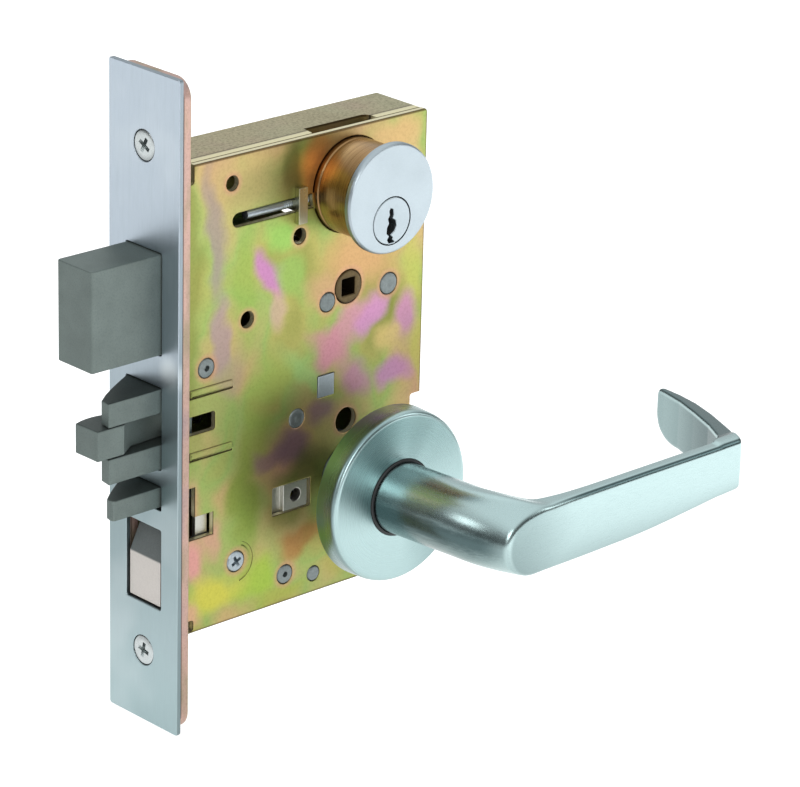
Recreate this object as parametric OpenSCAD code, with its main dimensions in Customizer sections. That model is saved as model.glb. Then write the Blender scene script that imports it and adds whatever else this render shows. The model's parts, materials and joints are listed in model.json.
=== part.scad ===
// Mortise lock with a lever, rose and mortise cylinder on its outside.
// Frame: +X runs into the door, -Y is the outside, +Z is up.
// The origin is on the armor front's outer face, level with the lever's axis.

/* [Front] */
// Height of the armor front
front_h = 203.2; // [202:0.1:206]
// Width of the armor front
front_w = 31.75; // [31:0.05:34]
// Thickness of the armor front
armor_t = 1.6; // [1.2:0.1:2]
// Thickness of the inner front behind it
inner_front_t = 3.2; // [2.8:0.1:3.6]
// Height of the front's middle above the lever's axis
front_mid_z = 36.1; // [35:0.1:37]
// Spacing of the two screws that hold the armor front
armor_screw_gap = 157.6; // [156:0.1:159]
// Spacing of the two screws that hold the lock in the door
door_screw_gap = 184; // [182:0.5:186]

/* [Case] */
// Depth of the case from the armor front's face to its back
case_depth = 100.5; // [100:0.1:102]
// Height of the case
case_h = 146.05; // [146:0.05:148]
// Height of the case's middle above the lever's axis
case_mid_z = 36.87; // [36.8:0.01:37]
// Thickness of the case across the door
case_t = 22.2; // [22.2:0.1:22.6]
// Thickness of the case's steel
wall = 2.5; // [2:0.1:2.5]
// Thickness of the cover plate
cover_t = 2.2; // [2:0.1:2.3]

/* [Axes] */
// Backset, from the armor front's face to the lever and the cylinder
backset = 69.85; // [69.85:0.05:70]
// Height of the cylinder's axis above the lever's
cylinder_z = 92.1; // [92:0.1:92.2]
// Height of the thumb turn's axis above the lever's
thumb_z = 60; // [59.9:0.1:60.1]
// Height of the two trim bolt holes above and below the lever's axis
trim_bolt_z = 17.2; // [17:0.1:17.4]

/* [Bolts] */
// Distance that the deadbolt stands out when thrown
deadbolt_throw = 25.4; // [25:0.1:25.4]
// Height of the deadbolt
deadbolt_h = 30.7; // [30:0.1:30.8]
// Thickness of the bolts across the door
bolt_t = 15.8; // [15.4:0.1:15.9]
// Distance that the latchbolt's two prongs stand out
prong_out = 19.3; // [19:0.1:19.5]
// Distance that the anti-friction tongue stands out
tongue_out = 23.3; // [23:0.1:23.3]
// Distance that the auxiliary latch stands out
aux_out = 17.6; // [17:0.1:18]

/* [Trim] */
// Radius of the rose
rose_r = 27; // [26.5:0.1:27.2]
// Radius of the lever's shank
shank_r = 11.1; // [11:0.05:11.15]
// Radius of the cylinder's head
head_r = 16.9; // [16.5:0.1:17.2]
// Radius of the cylinder's threaded body
thread_r = 14.6; // [14.5:0.05:14.65]
// Radius of the plug
plug_r = 7.4; // [7.2:0.1:7.4]

/* [Hidden] */
$fn = 64;

// Slack that keeps cuts from sharing a face with what they cut
eps = 0.5;
// Clearance between sliding parts
slide_gap = 0.3;
// Radial clearance of a running fit
run_gap = 0.07;

// Planes of the front, from the outside of the door's edge inwards
inner_front_x = armor_t;
case_x = armor_t + inner_front_t;
front_bottom = front_mid_z - front_h / 2;
armor_screw_z = [front_mid_z - armor_screw_gap / 2, front_mid_z + armor_screw_gap / 2];
door_screw_z = [front_mid_z - door_screw_gap / 2, front_mid_z + door_screw_gap / 2];

// Planes of the case
cover_y = -case_t / 2;
cover_in = cover_y + cover_t;
floor_y = case_t / 2;
floor_in = floor_y - wall;
case_bottom = case_mid_z - case_h / 2;
case_top = case_mid_z + case_h / 2;

// Deadbolt
deadbolt_z = 53.4;
deadbolt_back = 12.6;
tail_y = [-3.4, -0.6];
tail_z = [66.5, 84];
tail_end = 64;
guide_pos = [43, 78.5];
guide_r = 2.2;
thumb_arm_r = 18;
thumb_pin_r = 1.8;
thumb_hub_r = 5.2;
lug_drop = 14;
lug_r = 1.8;
lug_bridge_y = [-4.8, -3.4];

// Latchbolt, with the tongue between an upper and a lower prong
latch_z = [17.7, 25.6, 35.4, 42.9];
latch_back = 12;
stem_y = 1.8;
stem_z = [28.5, 32.1];
stem_mid = (stem_z[0] + stem_z[1]) / 2;
stem_end = 70;
tongue_pin_pos = [3, 0];
tongue_pin_r = 1.5;
lever_turn = 55;
nose_r = 2.5;
nose_path_r = 25.2;
crossbar_x = 61.05;
latch_spring_r = 4.4;
stem_guide_x = [58.2, 64.8];
stem_guide_z = [26.9, 33.9];

// Auxiliary latch and deadlocking lever
aux_z = [5.7, 12.1];
aux_back = 12;
aux_stem_z = [7.4, 10.4];
aux_mid = (aux_stem_z[0] + aux_stem_z[1]) / 2;
aux_stem_end = 45;
aux_guide_x = [36, 38];
aux_spring_r = 2.9;
deadlock_pivot = [40, 14.2];

// Stop-works rocker
rocker_fold = 25;
rocker_face_x = 0.8;
rocker_reach = 9;
rocker_half = 14.1;
rocker_window = [-27.2, -1.5];
rocker_mid = (rocker_window[0] + rocker_window[1]) / 2;
rocker_pivot = [rocker_face_x + rocker_reach * cos(rocker_fold / 2), rocker_mid];
rocker_half_w = 7;
rocker_tail = 7;
slide_y = [cover_in + 0.3, cover_in + 1.9];

// Cylinder, with its plug below the middle of the body
head_y = -29.4;
head_back = -26.9;
cylinder_end = -7.2;
plug_z = 85.4;
plug_bore_gap = 0.05;
pin_count = 5;
pin_pitch = 3.6;
pin_first_y = -25;
pin_r = 1.2;
cam_y = [-7, -5.1];
cam_reach = 16.6;

// Hubs, spindle, rose and lever
hub_r = 9;
hub_plate_r = 12;
square = 8;
outer_plate_y = [-6.5, -3.7];
rose_y = [-36.3, -28.5];
shank_back = -25.4;
shank_bend_y = -38;
shank_lean = 4;
paddle_front = -85;
paddle_back = -77;
paddle_top = 9;

function at_y(y) = shank_lean * (shank_bend_y - y) / (shank_bend_y - paddle_back);
function arc(c, r, a0, a1, n = 8) = [for (i = [0 : n]) c + r * [cos(a0 + (a1 - a0) * i / n), sin(a0 + (a1 - a0) * i / n)]];

// A box between two corners
module block(x, y, z) {
    translate([x[0], y[0], z[0]])
        cube([x[1] - x[0], y[1] - y[0], z[1] - z[0]]);
}

// A round bar along Y, at [x, z] between two values of y
module bar_y(pos, y, r, fn = 64) {
    translate([pos[0], y[1], pos[1]])
        rotate([90, 0, 0])
            cylinder(r = r, h = y[1] - y[0], $fn = fn);
}

// A round bar along X, at [y, z] between two values of x
module bar_x(pos, x, r, r2 = 0) {
    translate([x[0], pos[0], pos[1]])
        rotate([0, 90, 0])
            cylinder(r1 = r, r2 = r2 > 0 ? r2 : r, h = x[1] - x[0]);
}

// A round bar along Z, at [x, y] between two values of z
module bar_z(pos, z, r) {
    translate([pos[0], pos[1], z[0]])
        cylinder(r = r, h = z[1] - z[0]);
}

// An outline drawn in X and Z, made solid between two values of y
module plate_y(y) {
    translate([0, y[1], 0])
        rotate([90, 0, 0])
            linear_extrude(y[1] - y[0])
                children();
}

// A coil spring along Z from the origin, as one closed tube round a helix
module coil(turns, length, r, wire, sides = 6, steps = 12) {
    rings = turns * steps;
    function ring_point(i, s) =
        let (a = 360 * i / steps, b = 360 * s / sides, q = r + wire * cos(b))
        [q * cos(a), q * sin(a), wire + (length - 2 * wire) * i / rings + wire * sin(b)];
    points = [for (i = [0 : rings]) for (s = [0 : sides - 1]) ring_point(i, s)];
    skin = [for (i = [0 : rings - 1]) for (s = [0 : sides - 1])
        let (a = i * sides + s, b = i * sides + (s + 1) % sides)
        each [[a, b, b + sides], [a, b + sides, a + sides]]];
    ends = [
        [for (s = [0 : sides - 1]) sides - 1 - s],
        [for (s = [0 : sides - 1]) rings * sides + s]
    ];
    polyhedron(points = points, faces = concat(skin, ends));
}

// ---- Front ----

// The openings that both fronts have, for the bolts and the rocker
module front_openings(x, gap, rocker_room) {
    w = bolt_t / 2 + gap;
    block(x, [-w, w], [deadbolt_z - gap, deadbolt_z + deadbolt_h + gap]);
    block(x, [-w, w], [latch_z[0] - gap, latch_z[3] + gap]);
    block(x, [-w, w], [aux_z[0] - gap - 0.7, aux_z[1] + gap]);
    block(x, [-w, w - gap], [rocker_window[0] - rocker_room, rocker_window[1] + rocker_room]);
}

// A front's plate with rounded corners
module front_plate(x, w, z, r) {
    translate([x[0], 0, 0])
        rotate([90, 0, 90])
            linear_extrude(x[1] - x[0])
                difference() {
                    translate([-w / 2, z[0]])
                        square([w, z[1] - z[0]]);
                    for (side = [0, 1], end = [0, 1])
                        translate([side ? w / 2 : -w / 2, z[end]])
                            mirror([side, 0])
                                mirror([0, end])
                                    difference() {
                                        translate([-1, -1])
                                            square(r + 1);
                                        translate([r, r])
                                            circle(r);
                                    }
                }
}

module armor_front() color("lightsteelblue") {
    difference() {
        front_plate([0, armor_t], front_w, [front_bottom, front_bottom + front_h], 0.8);
        front_openings([-eps, armor_t + eps], 0.3, 0);
        for (z = armor_screw_z) {
            bar_x([0, z], [-eps, armor_t + eps], 2.6);
            bar_x([0, z], [-0.01, armor_t + 0.01], 4.7, 3);
        }
    }
}

module inner_front() color("rosybrown") {
    inset = 0.6;
    difference() {
        front_plate(
            [inner_front_x, case_x], front_w - 2 * inset + 0.4,
            [front_bottom + inset, front_bottom + front_h - inset], 6);
        front_openings([inner_front_x - eps, case_x + eps], 0.4, 1.9);
        for (z = armor_screw_z)
            bar_x([0, z], [inner_front_x - eps, case_x + eps], 2.1);
        for (z = door_screw_z)
            bar_x([0, z], [inner_front_x - eps, case_x + eps], 3);
    }
}

module armor_screws() color("silver") {
    head_in = 0.15;
    for (z = armor_screw_z)
        difference() {
            union() {
                bar_x([0, z], [head_in, armor_t], 4.5, 2.75);
                bar_x([0, z], [armor_t - 0.1, 11], 2.04);
            }
            translate([head_in, 0, z])
                for (turn = [0, 90])
                    rotate([turn + 20, 0, 0])
                        cube([2.4, 4.4, 0.9], center = true);
        }
}

// ---- Case ----

// The round holes that pass through both the cover and the case's floor
module side_holes(y) {
    bar_y([backset, 0], y, hub_r + run_gap);
    bar_y([backset, thumb_z], y, thumb_hub_r + run_gap);
    for (z = [-trim_bolt_z, trim_bolt_z])
        bar_y([backset, z], y, 4);
}

POST_POS = [[61.6, 56.8], [86.2, 57.4], [14.6, 46.9], [50.1, 22.5], [46.2, -27.1], [57.8, -30]];
POST_R = [3, 3.4, 3, 3, 3, 2.4];

// The case is one folded pan: its floor, and the wall round three of its sides
module case() color("darkkhaki") {
    difference() {
        block([case_x, case_depth], [floor_in, floor_y], [case_bottom, case_top]);
        side_holes([floor_in - eps, floor_y + eps]);
        bar_y([backset, cylinder_z], [floor_in - eps, floor_y + eps], thread_r);
        for (i = [0 : len(POST_POS) - 1])
            bar_y(POST_POS[i], [floor_in - eps, floor_y + eps], 1.9);
        // hole for the stem guide's tab
        block(stem_guide_x, [floor_in - eps, floor_y + eps], stem_guide_z);
    }
}

module case_wall() color("darkkhaki") {
    difference() {
        block([case_x, case_depth], [cover_in, floor_in], [case_bottom, case_top]);
        block([case_x - eps, case_depth - wall], [cover_in - eps, floor_in + eps],
            [case_bottom + wall, case_top - wall]);
        // notch in the top wall, beside the cylinder
        block([56, 82], [cover_in - eps, -4], [case_top - wall - eps, case_top + eps]);
        // notch at the back edge, and reliefs behind the cover's two corner slots
        block([case_depth - wall - eps, case_depth + eps], [cover_in - eps, -6], [13.2, 19.1]);
        block([case_x - eps, 10.2], [cover_in - eps, -5], [case_bottom - eps, case_bottom + wall + eps]);
        block([case_x - eps, 9.6], [cover_in - eps, -5], [case_top - wall - eps, case_top + eps]);
    }
}

module cover() color("darkkhaki") {
    y = [cover_y - eps, cover_in + eps];
    difference() {
        union() {
            block([case_x + 0.3, case_depth], [cover_y, cover_in], [case_bottom, case_top]);
            // ribs pressed outwards beside the latchbolt
            for (z = [38.9, 19.3])
                block([8, 24.8], [cover_y - 0.5, cover_y + 0.1], [z, z + 2.4]);
        }
        side_holes(y);
        bar_y([backset, cylinder_z], y, thread_r + 0.12);
        for (i = [0 : len(POST_POS) - 1])
            bar_y(POST_POS[i], y, POST_R[i] + 0.02);
        bar_y([24, 101.5], y, 2.25);
        bar_y([50.2, 80], y, 2.4);
        bar_y([30.2, 58.4], y, 2.5);
        // slot for the cylinder's clamp screw
        block([26.3, 56], y, [87.8, 92]);
        bar_y([26.3, 89.9], y, 2.1);
        // window beside the latchbolt
        block([case_x, 18.1], y, [27.1, 32.8]);
        // slits under the pressed ribs
        for (z = [38.4, 18.8])
            block([8, 24.8], y, [z, z + 0.5]);
        // square hole for the stem guide's tab
        block(stem_guide_x, y, stem_guide_z);
        // window for the square nut
        block([40.9, 56], y, [-6.9, 2.1]);
        // slot and window for the stop-works slide
        block([case_x, 10.6], y, [-5, 10.4]);
        block([case_x, 17.7], y, [-6.2, 0.9]);
        // slots for the inner front's tabs
        block([case_x, 10.2], y, [-35.5, -32.2]);
        block([case_x, 9.6], y, [104.2, case_top + eps]);
        // notch at the back edge
        block([96.5, case_depth + eps], y, [13.2, 19.1]);
        bar_y([26.6, -17.5], y, 3.3);
        // arc groove round the cover screw
        intersection() {
            difference() {
                bar_y([26.6, -17.8], [cover_y - eps, cover_y + 0.5], 6.3);
                bar_y([26.6, -17.8], [cover_y - 2 * eps, cover_y + 1], 5.6);
            }
            block([27, 34], [cover_y - eps, cover_y + 1], [-24.5, -12]);
        }
    }
}

module case_posts() color("slategray") {
    for (i = [0 : len(POST_POS) - 1])
        difference() {
            union() {
                bar_y(POST_POS[i], [cover_y - 0.2, floor_in], POST_R[i]);
                bar_y(POST_POS[i], [floor_in - 0.1, floor_y + 0.2], 1.88);
            }
            bar_y(POST_POS[i], [cover_y - 1, cover_y + 1.2], 0.8);
        }
}

module cover_screw() color("silver") {
    difference() {
        union() {
            bar_y([26.6, -17.5], [cover_y - 0.3, cover_in + 0.2], 3.25);
            bar_y([26.6, -17.5], [cover_in, floor_in], 2.2);
        }
        translate([26.6, cover_y - 0.3, -17.5])
            for (turn = [30, 120])
                rotate([0, turn, 0])
                    cube([3.4, 2, 0.8], center = true);
    }
}

module clamp_screw() color("silver") {
    y = -8.3;
    bar_x([y, 89.9], [31, 55.1], 1.45);
}

module clamp_bar() color("gainsboro") {
    difference() {
        union() {
            block([48.1, 51.5], [cover_y - 1.8, cover_y], [84.3, 95.4]);
            block([48.3, 51.3], [cover_y - 0.1, -7.2], [88, 91.8]);
        }
        bar_x([-8.3, 89.9], [47, 53], 1.5);
    }
}

module square_nut() color("silver") {
    difference() {
        block([45.6, 55], [cover_y + 0.5, cover_in], [-6.7, 1.9]);
        bar_y([50.4, -2.3], [cover_y - 1, cover_in + 1], 2.1);
    }
    difference() {
        block([40, 57], [cover_in, cover_in + 1.6], [-8.2, 3.4]);
        bar_y([50.4, -2.3], [cover_in - 1, cover_in + 3], 2.1);
    }
}

module deadbolt_guide() color("slategray") {
    bar_y(guide_pos, [-5, floor_in], guide_r);
    bar_y(guide_pos, [-0.2, floor_in], 3.6);
}

// Bracket that carries the latch stem, with a tab through the cover and one through the floor
module stem_guide() color("slategray") {
    in = 0.1;
    z = [stem_guide_z[0] + in, stem_guide_z[1] - in];
    difference() {
        union() {
            block([stem_guide_x[0] + in, 61.9], [cover_y, floor_y], z);
            block([stem_guide_x[0] + in, stem_guide_x[1] - in], [cover_y - 0.15, cover_in], z);
            block([stem_guide_x[0] + in, stem_guide_x[1] - in], [floor_in, floor_y], z);
        }
        block(
            [stem_guide_x[0] - 1, stem_guide_x[1] + 1], [-stem_y - slide_gap, stem_y + slide_gap],
            [stem_z[0] - slide_gap, stem_z[1] + slide_gap]);
    }
}

module aux_guide() color("slategray") {
    difference() {
        block(aux_guide_x, [-3.4, floor_in], [4.2, 12.3]);
        block(
            [aux_guide_x[0] - 1, aux_guide_x[1] + 1], [-1.5 - slide_gap, 1.5 + slide_gap],
            [aux_stem_z[0] - slide_gap, aux_stem_z[1] + slide_gap]);
    }
}

module deadlock_post() color("slategray") {
    bar_y(deadlock_pivot, [3, floor_in], 1.5);
}

module rocker_bracket() color("darkkhaki") {
    for (side = [-1, 1])
        difference() {
            block(
                [case_x, rocker_pivot[0] + 3],
                side < 0 ? [-8.5, -7.4] : [7.4, 8.5],
                [rocker_mid - 5, rocker_mid + 5]);
            bar_y(rocker_pivot, [-9, 9], 1.5);
        }
}

module rocker_pin() color("silver") {
    bar_y(rocker_pivot, [-8.6, floor_in], 1.45);
}

module latch_spring() color("dimgray") {
    translate([latch_back + 0.2, 0, stem_mid])
        rotate([0, 90, 0])
            coil(11, stem_guide_x[0] - latch_back - 0.2, latch_spring_r, 0.5);
}

module aux_spring() color("dimgray") {
    translate([aux_back + 0.2, 0, aux_mid])
        rotate([0, 90, 0])
            coil(8, aux_guide_x[0] - aux_back - 0.4, aux_spring_r, 0.4);
}

// ---- Mortise cylinder ----

module pin_holes(z, r) {
    for (i = [0 : pin_count - 1])
        bar_z([backset, pin_first_y + i * pin_pitch], z, r);
}

module cylinder_body() color("goldenrod") {
    rim = 0.7;
    difference() {
        union() {
            bar_y([backset, cylinder_z], [head_back, cylinder_end], thread_r);
            translate([backset, head_back, cylinder_z])
                rotate([90, 0, 0])
                    rotate_extrude($fn = 96)
                        polygon([
                            [0, 0], [head_r - 0.3, 0], [head_r, 0.3],
                            [head_r, head_back - head_y - rim], [head_r - rim, head_back - head_y], [0, head_back - head_y]
                        ]);
        }
        bar_y([backset, plug_z], [head_y - 1, cylinder_end + 1], plug_r + plug_bore_gap);
        pin_holes([plug_z + 5, 104.6], pin_r + 0.06);
        // groove for the clamp screw
        block([55, 57.2], [-10.2, -6], [87.9, 91.9]);
    }
}

module driver_pins() color("goldenrod") {
    pin_holes([plug_z + plug_r + 0.15, 97], pin_r);
}

module pin_springs() color("dimgray") {
    for (i = [0 : pin_count - 1])
        translate([backset, pin_first_y + i * pin_pitch, 97.05])
            coil(5, 7.4, 0.95, 0.2, 5, 8);
}

module plug() color("silver") {
    depth = 20;
    difference() {
        bar_y([backset, plug_z], [head_y + 0.1, cam_y[0]], plug_r);
        // keyway, wider at its foot and stepped at its waist
        block([backset - 0.9, backset + 0.9], [head_y - 1, head_y + depth], [plug_z - 7, plug_z - 2.6]);
        block([backset - 0.2, backset + 1.3], [head_y - 1, head_y + depth], [plug_z - 2.8, plug_z + 0.6]);
        block([backset - 1, backset + 0.6], [head_y - 1, head_y + depth], [plug_z + 0.4, plug_z + 3.2]);
        pin_holes([plug_z + 1, plug_z + plug_r + 1], pin_r + 0.06);
        for (x = [-4.2, 4.2])
            bar_y([backset + x, plug_z + 2.5], [cam_y[0] - 4, cam_y[0] + 1], 0.9);
    }
}

module key_pins() color("goldenrod") {
    pin_holes([plug_z + 2.2, plug_z + plug_r - 0.3], pin_r);
}

module cam() color("slategray") {
    difference() {
        union() {
            bar_y([backset, plug_z], cam_y, 7);
            block([backset - 4, backset + 4], cam_y, [plug_z, plug_z + cam_reach - 2.4]);
            translate([0, 0, cam_reach - 2.4])
                intersection() {
                    bar_y([backset, plug_z - 2], cam_y, 4.4);
                    block([backset - 4, backset + 4], [cam_y[0] - 1, cam_y[1] + 1], [plug_z - 1, plug_z + 9]);
                }
        }
        for (x = [-4.2, 4.2])
            bar_y([backset + x, plug_z + 2.5], [cam_y[0] - 1, cam_y[1] + 1], 0.9);
    }
}

module cam_screws() color("silver") {
    for (x = [-4.2, 4.2])
        difference() {
            union() {
                bar_y([backset + x, plug_z + 2.5], [cam_y[0] - 3.5, cam_y[1]], 0.88, 24);
                bar_y([backset + x, plug_z + 2.5], [cam_y[1], cam_y[1] + 0.8], 1.7, 32);
            }
            block(
                [backset + x - 2, backset + x + 2], [cam_y[1] + 0.4, cam_y[1] + 1],
                [plug_z + 2.2, plug_z + 2.8]);
        }
}

// ---- Deadbolt ----

module deadbolt() color("slategray") {
    chamfer = 0.8;
    w = bolt_t / 2;
    difference() {
        translate([0, 0, deadbolt_z])
            linear_extrude(deadbolt_h)
                polygon([
                    [-deadbolt_throw, -w + chamfer], [-deadbolt_throw + chamfer, -w], [deadbolt_back, -w],
                    [deadbolt_back, w], [-deadbolt_throw + chamfer, w], [-deadbolt_throw, w - chamfer]
                ]);
        block([deadbolt_back - 7, deadbolt_back + 1], [tail_y[0], tail_y[1]], [tail_z[0] - 0.1, tail_z[1] + 0.1]);
        for (z = [70, 80])
            bar_y([deadbolt_back - 4, z], [tail_y[0] - 3, tail_y[1] + 3], 1.3);
    }
}

module deadbolt_tail() color("slategray") {
    slot_x = [guide_pos[0] - deadbolt_throw, guide_pos[0]];
    pin_x = backset - thumb_arm_r * sin(45);
    difference() {
        block([deadbolt_back - 6.9, tail_end], tail_y, tail_z);
        block(slot_x, [tail_y[0] - 1, tail_y[1] + 1], [guide_pos[1] - guide_r - slide_gap, guide_pos[1] + guide_r + slide_gap]);
        for (x = slot_x)
            bar_y([x, guide_pos[1]], [tail_y[0] - 1, tail_y[1] + 1], guide_r + slide_gap);
        // slot for the thumb turn's pin, open at its foot
        block([pin_x - 2.5, pin_x + 2.5], [tail_y[0] - 1, tail_y[1] + 1], [tail_z[0] - 1, 80.8]);
        for (z = [70, 80])
            bar_y([deadbolt_back - 4, z], [tail_y[0] - 1, tail_y[1] + 1], 1.3);
    }
}

module tail_rivets() color("silver") {
    for (z = [70, 80])
        bar_y([deadbolt_back - 4, z], [tail_y[0] - 2.9, tail_y[1] + 2.9], 1.28);
}

// Stud that the cylinder's cam pushes, on a strip that bridges the slot in the tail
module cam_lug() color("silver") {
    pos = [backset - deadbolt_throw / 2, plug_z - lug_drop];
    bar_y(pos, [-6.8, lug_bridge_y[0] + 0.1], lug_r);
    block([pos[0] - 5.8, pos[0] + 5.8], lug_bridge_y, [pos[1] - 2.3, pos[1] + 2.3]);
}

module thumb_hub() color("slategray") {
    arm = [-thumb_arm_r * sin(45), thumb_arm_r * cos(45)];
    pin = [backset + arm[0], thumb_z + arm[1]];
    arm_y = [tail_y[1] + slide_gap, tail_y[1] + 3.2];
    difference() {
        union() {
            bar_y([backset, thumb_z], [cover_y, floor_y], thumb_hub_r);
            translate([backset, 0, thumb_z])
                rotate([0, -45, 0])
                    block([-3, 3], arm_y, [0, thumb_arm_r]);
            bar_y(pin, arm_y, 3);
            bar_y(pin, [tail_y[0], arm_y[1]], thumb_pin_r);
        }
        block([backset - 2.6, backset + 2.6], [cover_y - 1, floor_y + 1], [thumb_z - 2.6, thumb_z + 2.6]);
    }
}

// ---- Latchbolt ----

// Plan of a prong: flat towards the outside, bevelled towards the door stop
module prong_plan() {
    w = bolt_t / 2;
    polygon(concat(
        [[latch_back, w], [latch_back, -w], [-prong_out, -w], [-prong_out + 0.6, -w + 4]],
        [for (t = [0.2 : 0.2 : 1]) [-prong_out + 0.6 + t * (prong_out - 0.6), -w + 4 + (bolt_t - 4) * pow(t, 0.86)]]
    ));
}

module latchbolt() color("slategray") {
    difference() {
        translate([0, 0, latch_z[0]])
            linear_extrude(latch_z[3] - latch_z[0])
                prong_plan();
        // slot between the prongs for the tongue
        block([-prong_out - 1, 9], [-bolt_t, bolt_t], [latch_z[1], latch_z[2]]);
        bar_z(tongue_pin_pos, [latch_z[0] + 2, latch_z[3] - 2], tongue_pin_r);
        block([9 - eps, latch_back + 1], [-stem_y, stem_y], stem_z);
    }
}

module latch_tongue() color("slategray") {
    w = bolt_t / 2;
    gap = 0.2;
    difference() {
        translate([0, 0, latch_z[1] + gap])
            linear_extrude(latch_z[2] - latch_z[1] - 2 * gap)
                polygon(concat(
                    [[6, -3], [-8, -4.2], [-13.5, -w + 0.1], [-tongue_out, -w + 0.1], [-tongue_out, -4.6]],
                    arc([-17.5, -12.5], 15.8, 118, 46, 6),
                    [[6, 3]]
                ));
        bar_z(tongue_pin_pos, [latch_z[1] - 1, latch_z[2] + 1], tongue_pin_r + run_gap);
    }
}

module tongue_pin() color("silver") {
    bar_z(tongue_pin_pos, [latch_z[0] + 2.1, latch_z[3] - 2.1], tongue_pin_r - 0.02);
}

module latch_stem() color("slategray") {
    block([9, stem_end], [-stem_y, stem_y], stem_z);
}

// Crossbar that both hubs push to draw the latchbolt
module stem_crossbar() color("slategray") {
    y = [-6.4, 6.4];
    difference() {
        union() {
            block([crossbar_x, 69], y, [19.5, 26.2]);
            block([66, 69], y, [26, stem_z[1] + 2]);
        }
        block([65, stem_end + 1], [-stem_y, stem_y], stem_z);
        // clearance for the trim bolt between the hubs
        bar_y([backset + 1, trim_bolt_z], [-7, 7], 4.4);
    }
}

// ---- Auxiliary latch ----

module aux_latch() color("slategray") {
    w = bolt_t / 2 - 0.3;
    difference() {
        translate([0, 0, aux_z[0]])
            linear_extrude(aux_z[1] - aux_z[0])
                polygon(concat(
                    [[aux_back, w], [aux_back, -w], [-aux_out + 1.2, -w], [-aux_out, -w + 1.2], [-aux_out + 0.4, -w + 3.2]],
                    [for (t = [0.25 : 0.25 : 1])
                        [-aux_out + 0.4 + t * (aux_out - 1.4), -w + 3.2 + (2 * w - 3.2) * pow(t, 0.9)]]
                ));
        block([8, aux_back + 1], [-1.5, 1.5], aux_stem_z);
    }
}

module aux_stem() color("slategray") {
    block([8, aux_stem_end], [-1.5, 1.5], aux_stem_z);
}

module deadlock_lever() color("slategray") {
    y = [4, 6];
    difference() {
        union() {
            block([14, deadlock_pivot[0]], y, [12.6, 14.4]);
            block([13, 16], y, [12.8, 15]);
            bar_y(deadlock_pivot, y, 3);
        }
        bar_y(deadlock_pivot, [y[0] - 1, y[1] + 1], 1.5 + run_gap);
        // flat that clears the auxiliary latch
        block([30, 44], [y[0] - 1, y[1] + 1], [10, 12.5]);
    }
}

// ---- Hubs, spindle and trim ----

// Outline of a hub's plate: a disc, and a hooked arm that reaches round the trim bolt to its nose
module hub_outline() {
    rest = -lever_turn / 2;
    rim = [22, 26.4];
    circle(hub_plate_r);
    rotate(-rest)
        translate([0, nose_path_r])
            circle(nose_r);
    rotate(41 - rest)
        translate([-3, hub_plate_r - 1])
            square([6, rim[0] + 2 - hub_plate_r]);
    intersection() {
        difference() {
            circle(rim[1]);
            circle(rim[0]);
        }
        polygon(concat([[0, 0]], [for (a = [rest - 46 : 7 : rest + 4]) 40 * [sin(a), cos(a)]]));
    }
}

// A hub: a barrel that turns in the case's side, with its plate and a square hole through both
module hub(barrel_y, plate) {
    half = square / 2 + 0.05;
    difference() {
        union() {
            bar_y([backset, 0], barrel_y, hub_r);
            translate([backset, 0, 0])
                plate_y(plate)
                    hub_outline();
        }
        block([backset - half, backset + half], [barrel_y[0] - 1, barrel_y[1] + 1], [-half, half]);
    }
}

module outer_hub() color("slategray") {
    hub([cover_y - 0.4, -0.4], outer_plate_y);
}

module inner_hub() color("slategray") {
    hub([0.4, floor_y + 0.4], [-outer_plate_y[1], -outer_plate_y[0]]);
}

module spindle() color("silver") {
    half = square / 2;
    block([backset - half, backset + half], [-52, -0.6], [-half, half]);
}

module rose() color("lightsteelblue") {
    skin = 1.5;
    depth = rose_y[1] - rose_y[0];
    translate([backset, rose_y[1], 0])
        rotate([90, 0, 0])
            rotate_extrude($fn = 96)
                polygon(concat(
                    [[rose_r - skin, 0], [rose_r, 0], [rose_r, depth - 2]],
                    arc([rose_r - 2, depth - 2], 2, 0, 90, 5),
                    [[12.6, depth], [12.6, depth - skin], [rose_r - 2.4, depth - skin], [rose_r - skin, depth - 2.6]]
                ));
}

module rose_plate() color("darkgray") {
    y = [-30.4, -28.7];
    difference() {
        bar_y([backset, 0], y, rose_r - 1.7);
        bar_y([backset, 0], [y[0] - 1, y[1] + 1], shank_r + 0.6);
        for (z = [-trim_bolt_z, trim_bolt_z])
            bar_y([backset, z], [y[0] - 1, y[1] + 1], 2.6);
    }
}

module rose_bushing() color("black") {
    difference() {
        union() {
            bar_y([backset, 0], [rose_y[0] - 0.9, -30.5], 12.4);
            bar_y([backset, 0], [-34.6, -33.6], 14);
        }
        bar_y([backset, 0], [-40, -28], shank_r + run_gap);
    }
}

module return_spring() color("dimgray") {
    translate([backset, 0, 0])
        rotate([90, 0, 0])
            for (y = [31.3, 32.9])
                translate([0, 0, y])
                    rotate_extrude()
                        translate([18, 0])
                            circle(0.7, $fn = 24);
}

// Plan of the lever's paddle and return, seen from above
module lever_plan() {
    left = backset + at_y(paddle_back) - shank_r;
    polygon(concat(
        [[backset + 12, paddle_back + 5], [left, paddle_back + 5]],
        arc([left + 8, paddle_front + 8], 8, 180, 270),
        [[159, paddle_front]],
        arc([160.5, paddle_front + 8], 8, 270, 340),
        arc([180.5, -38.2], 1.6, -20, 160, 5),
        arc([155.5, paddle_back + 6.5], 6.5, -20, -90),
        [[96, paddle_back]],
        arc([96, paddle_back + 11], 11, 270, 195)
    ));
}

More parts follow.
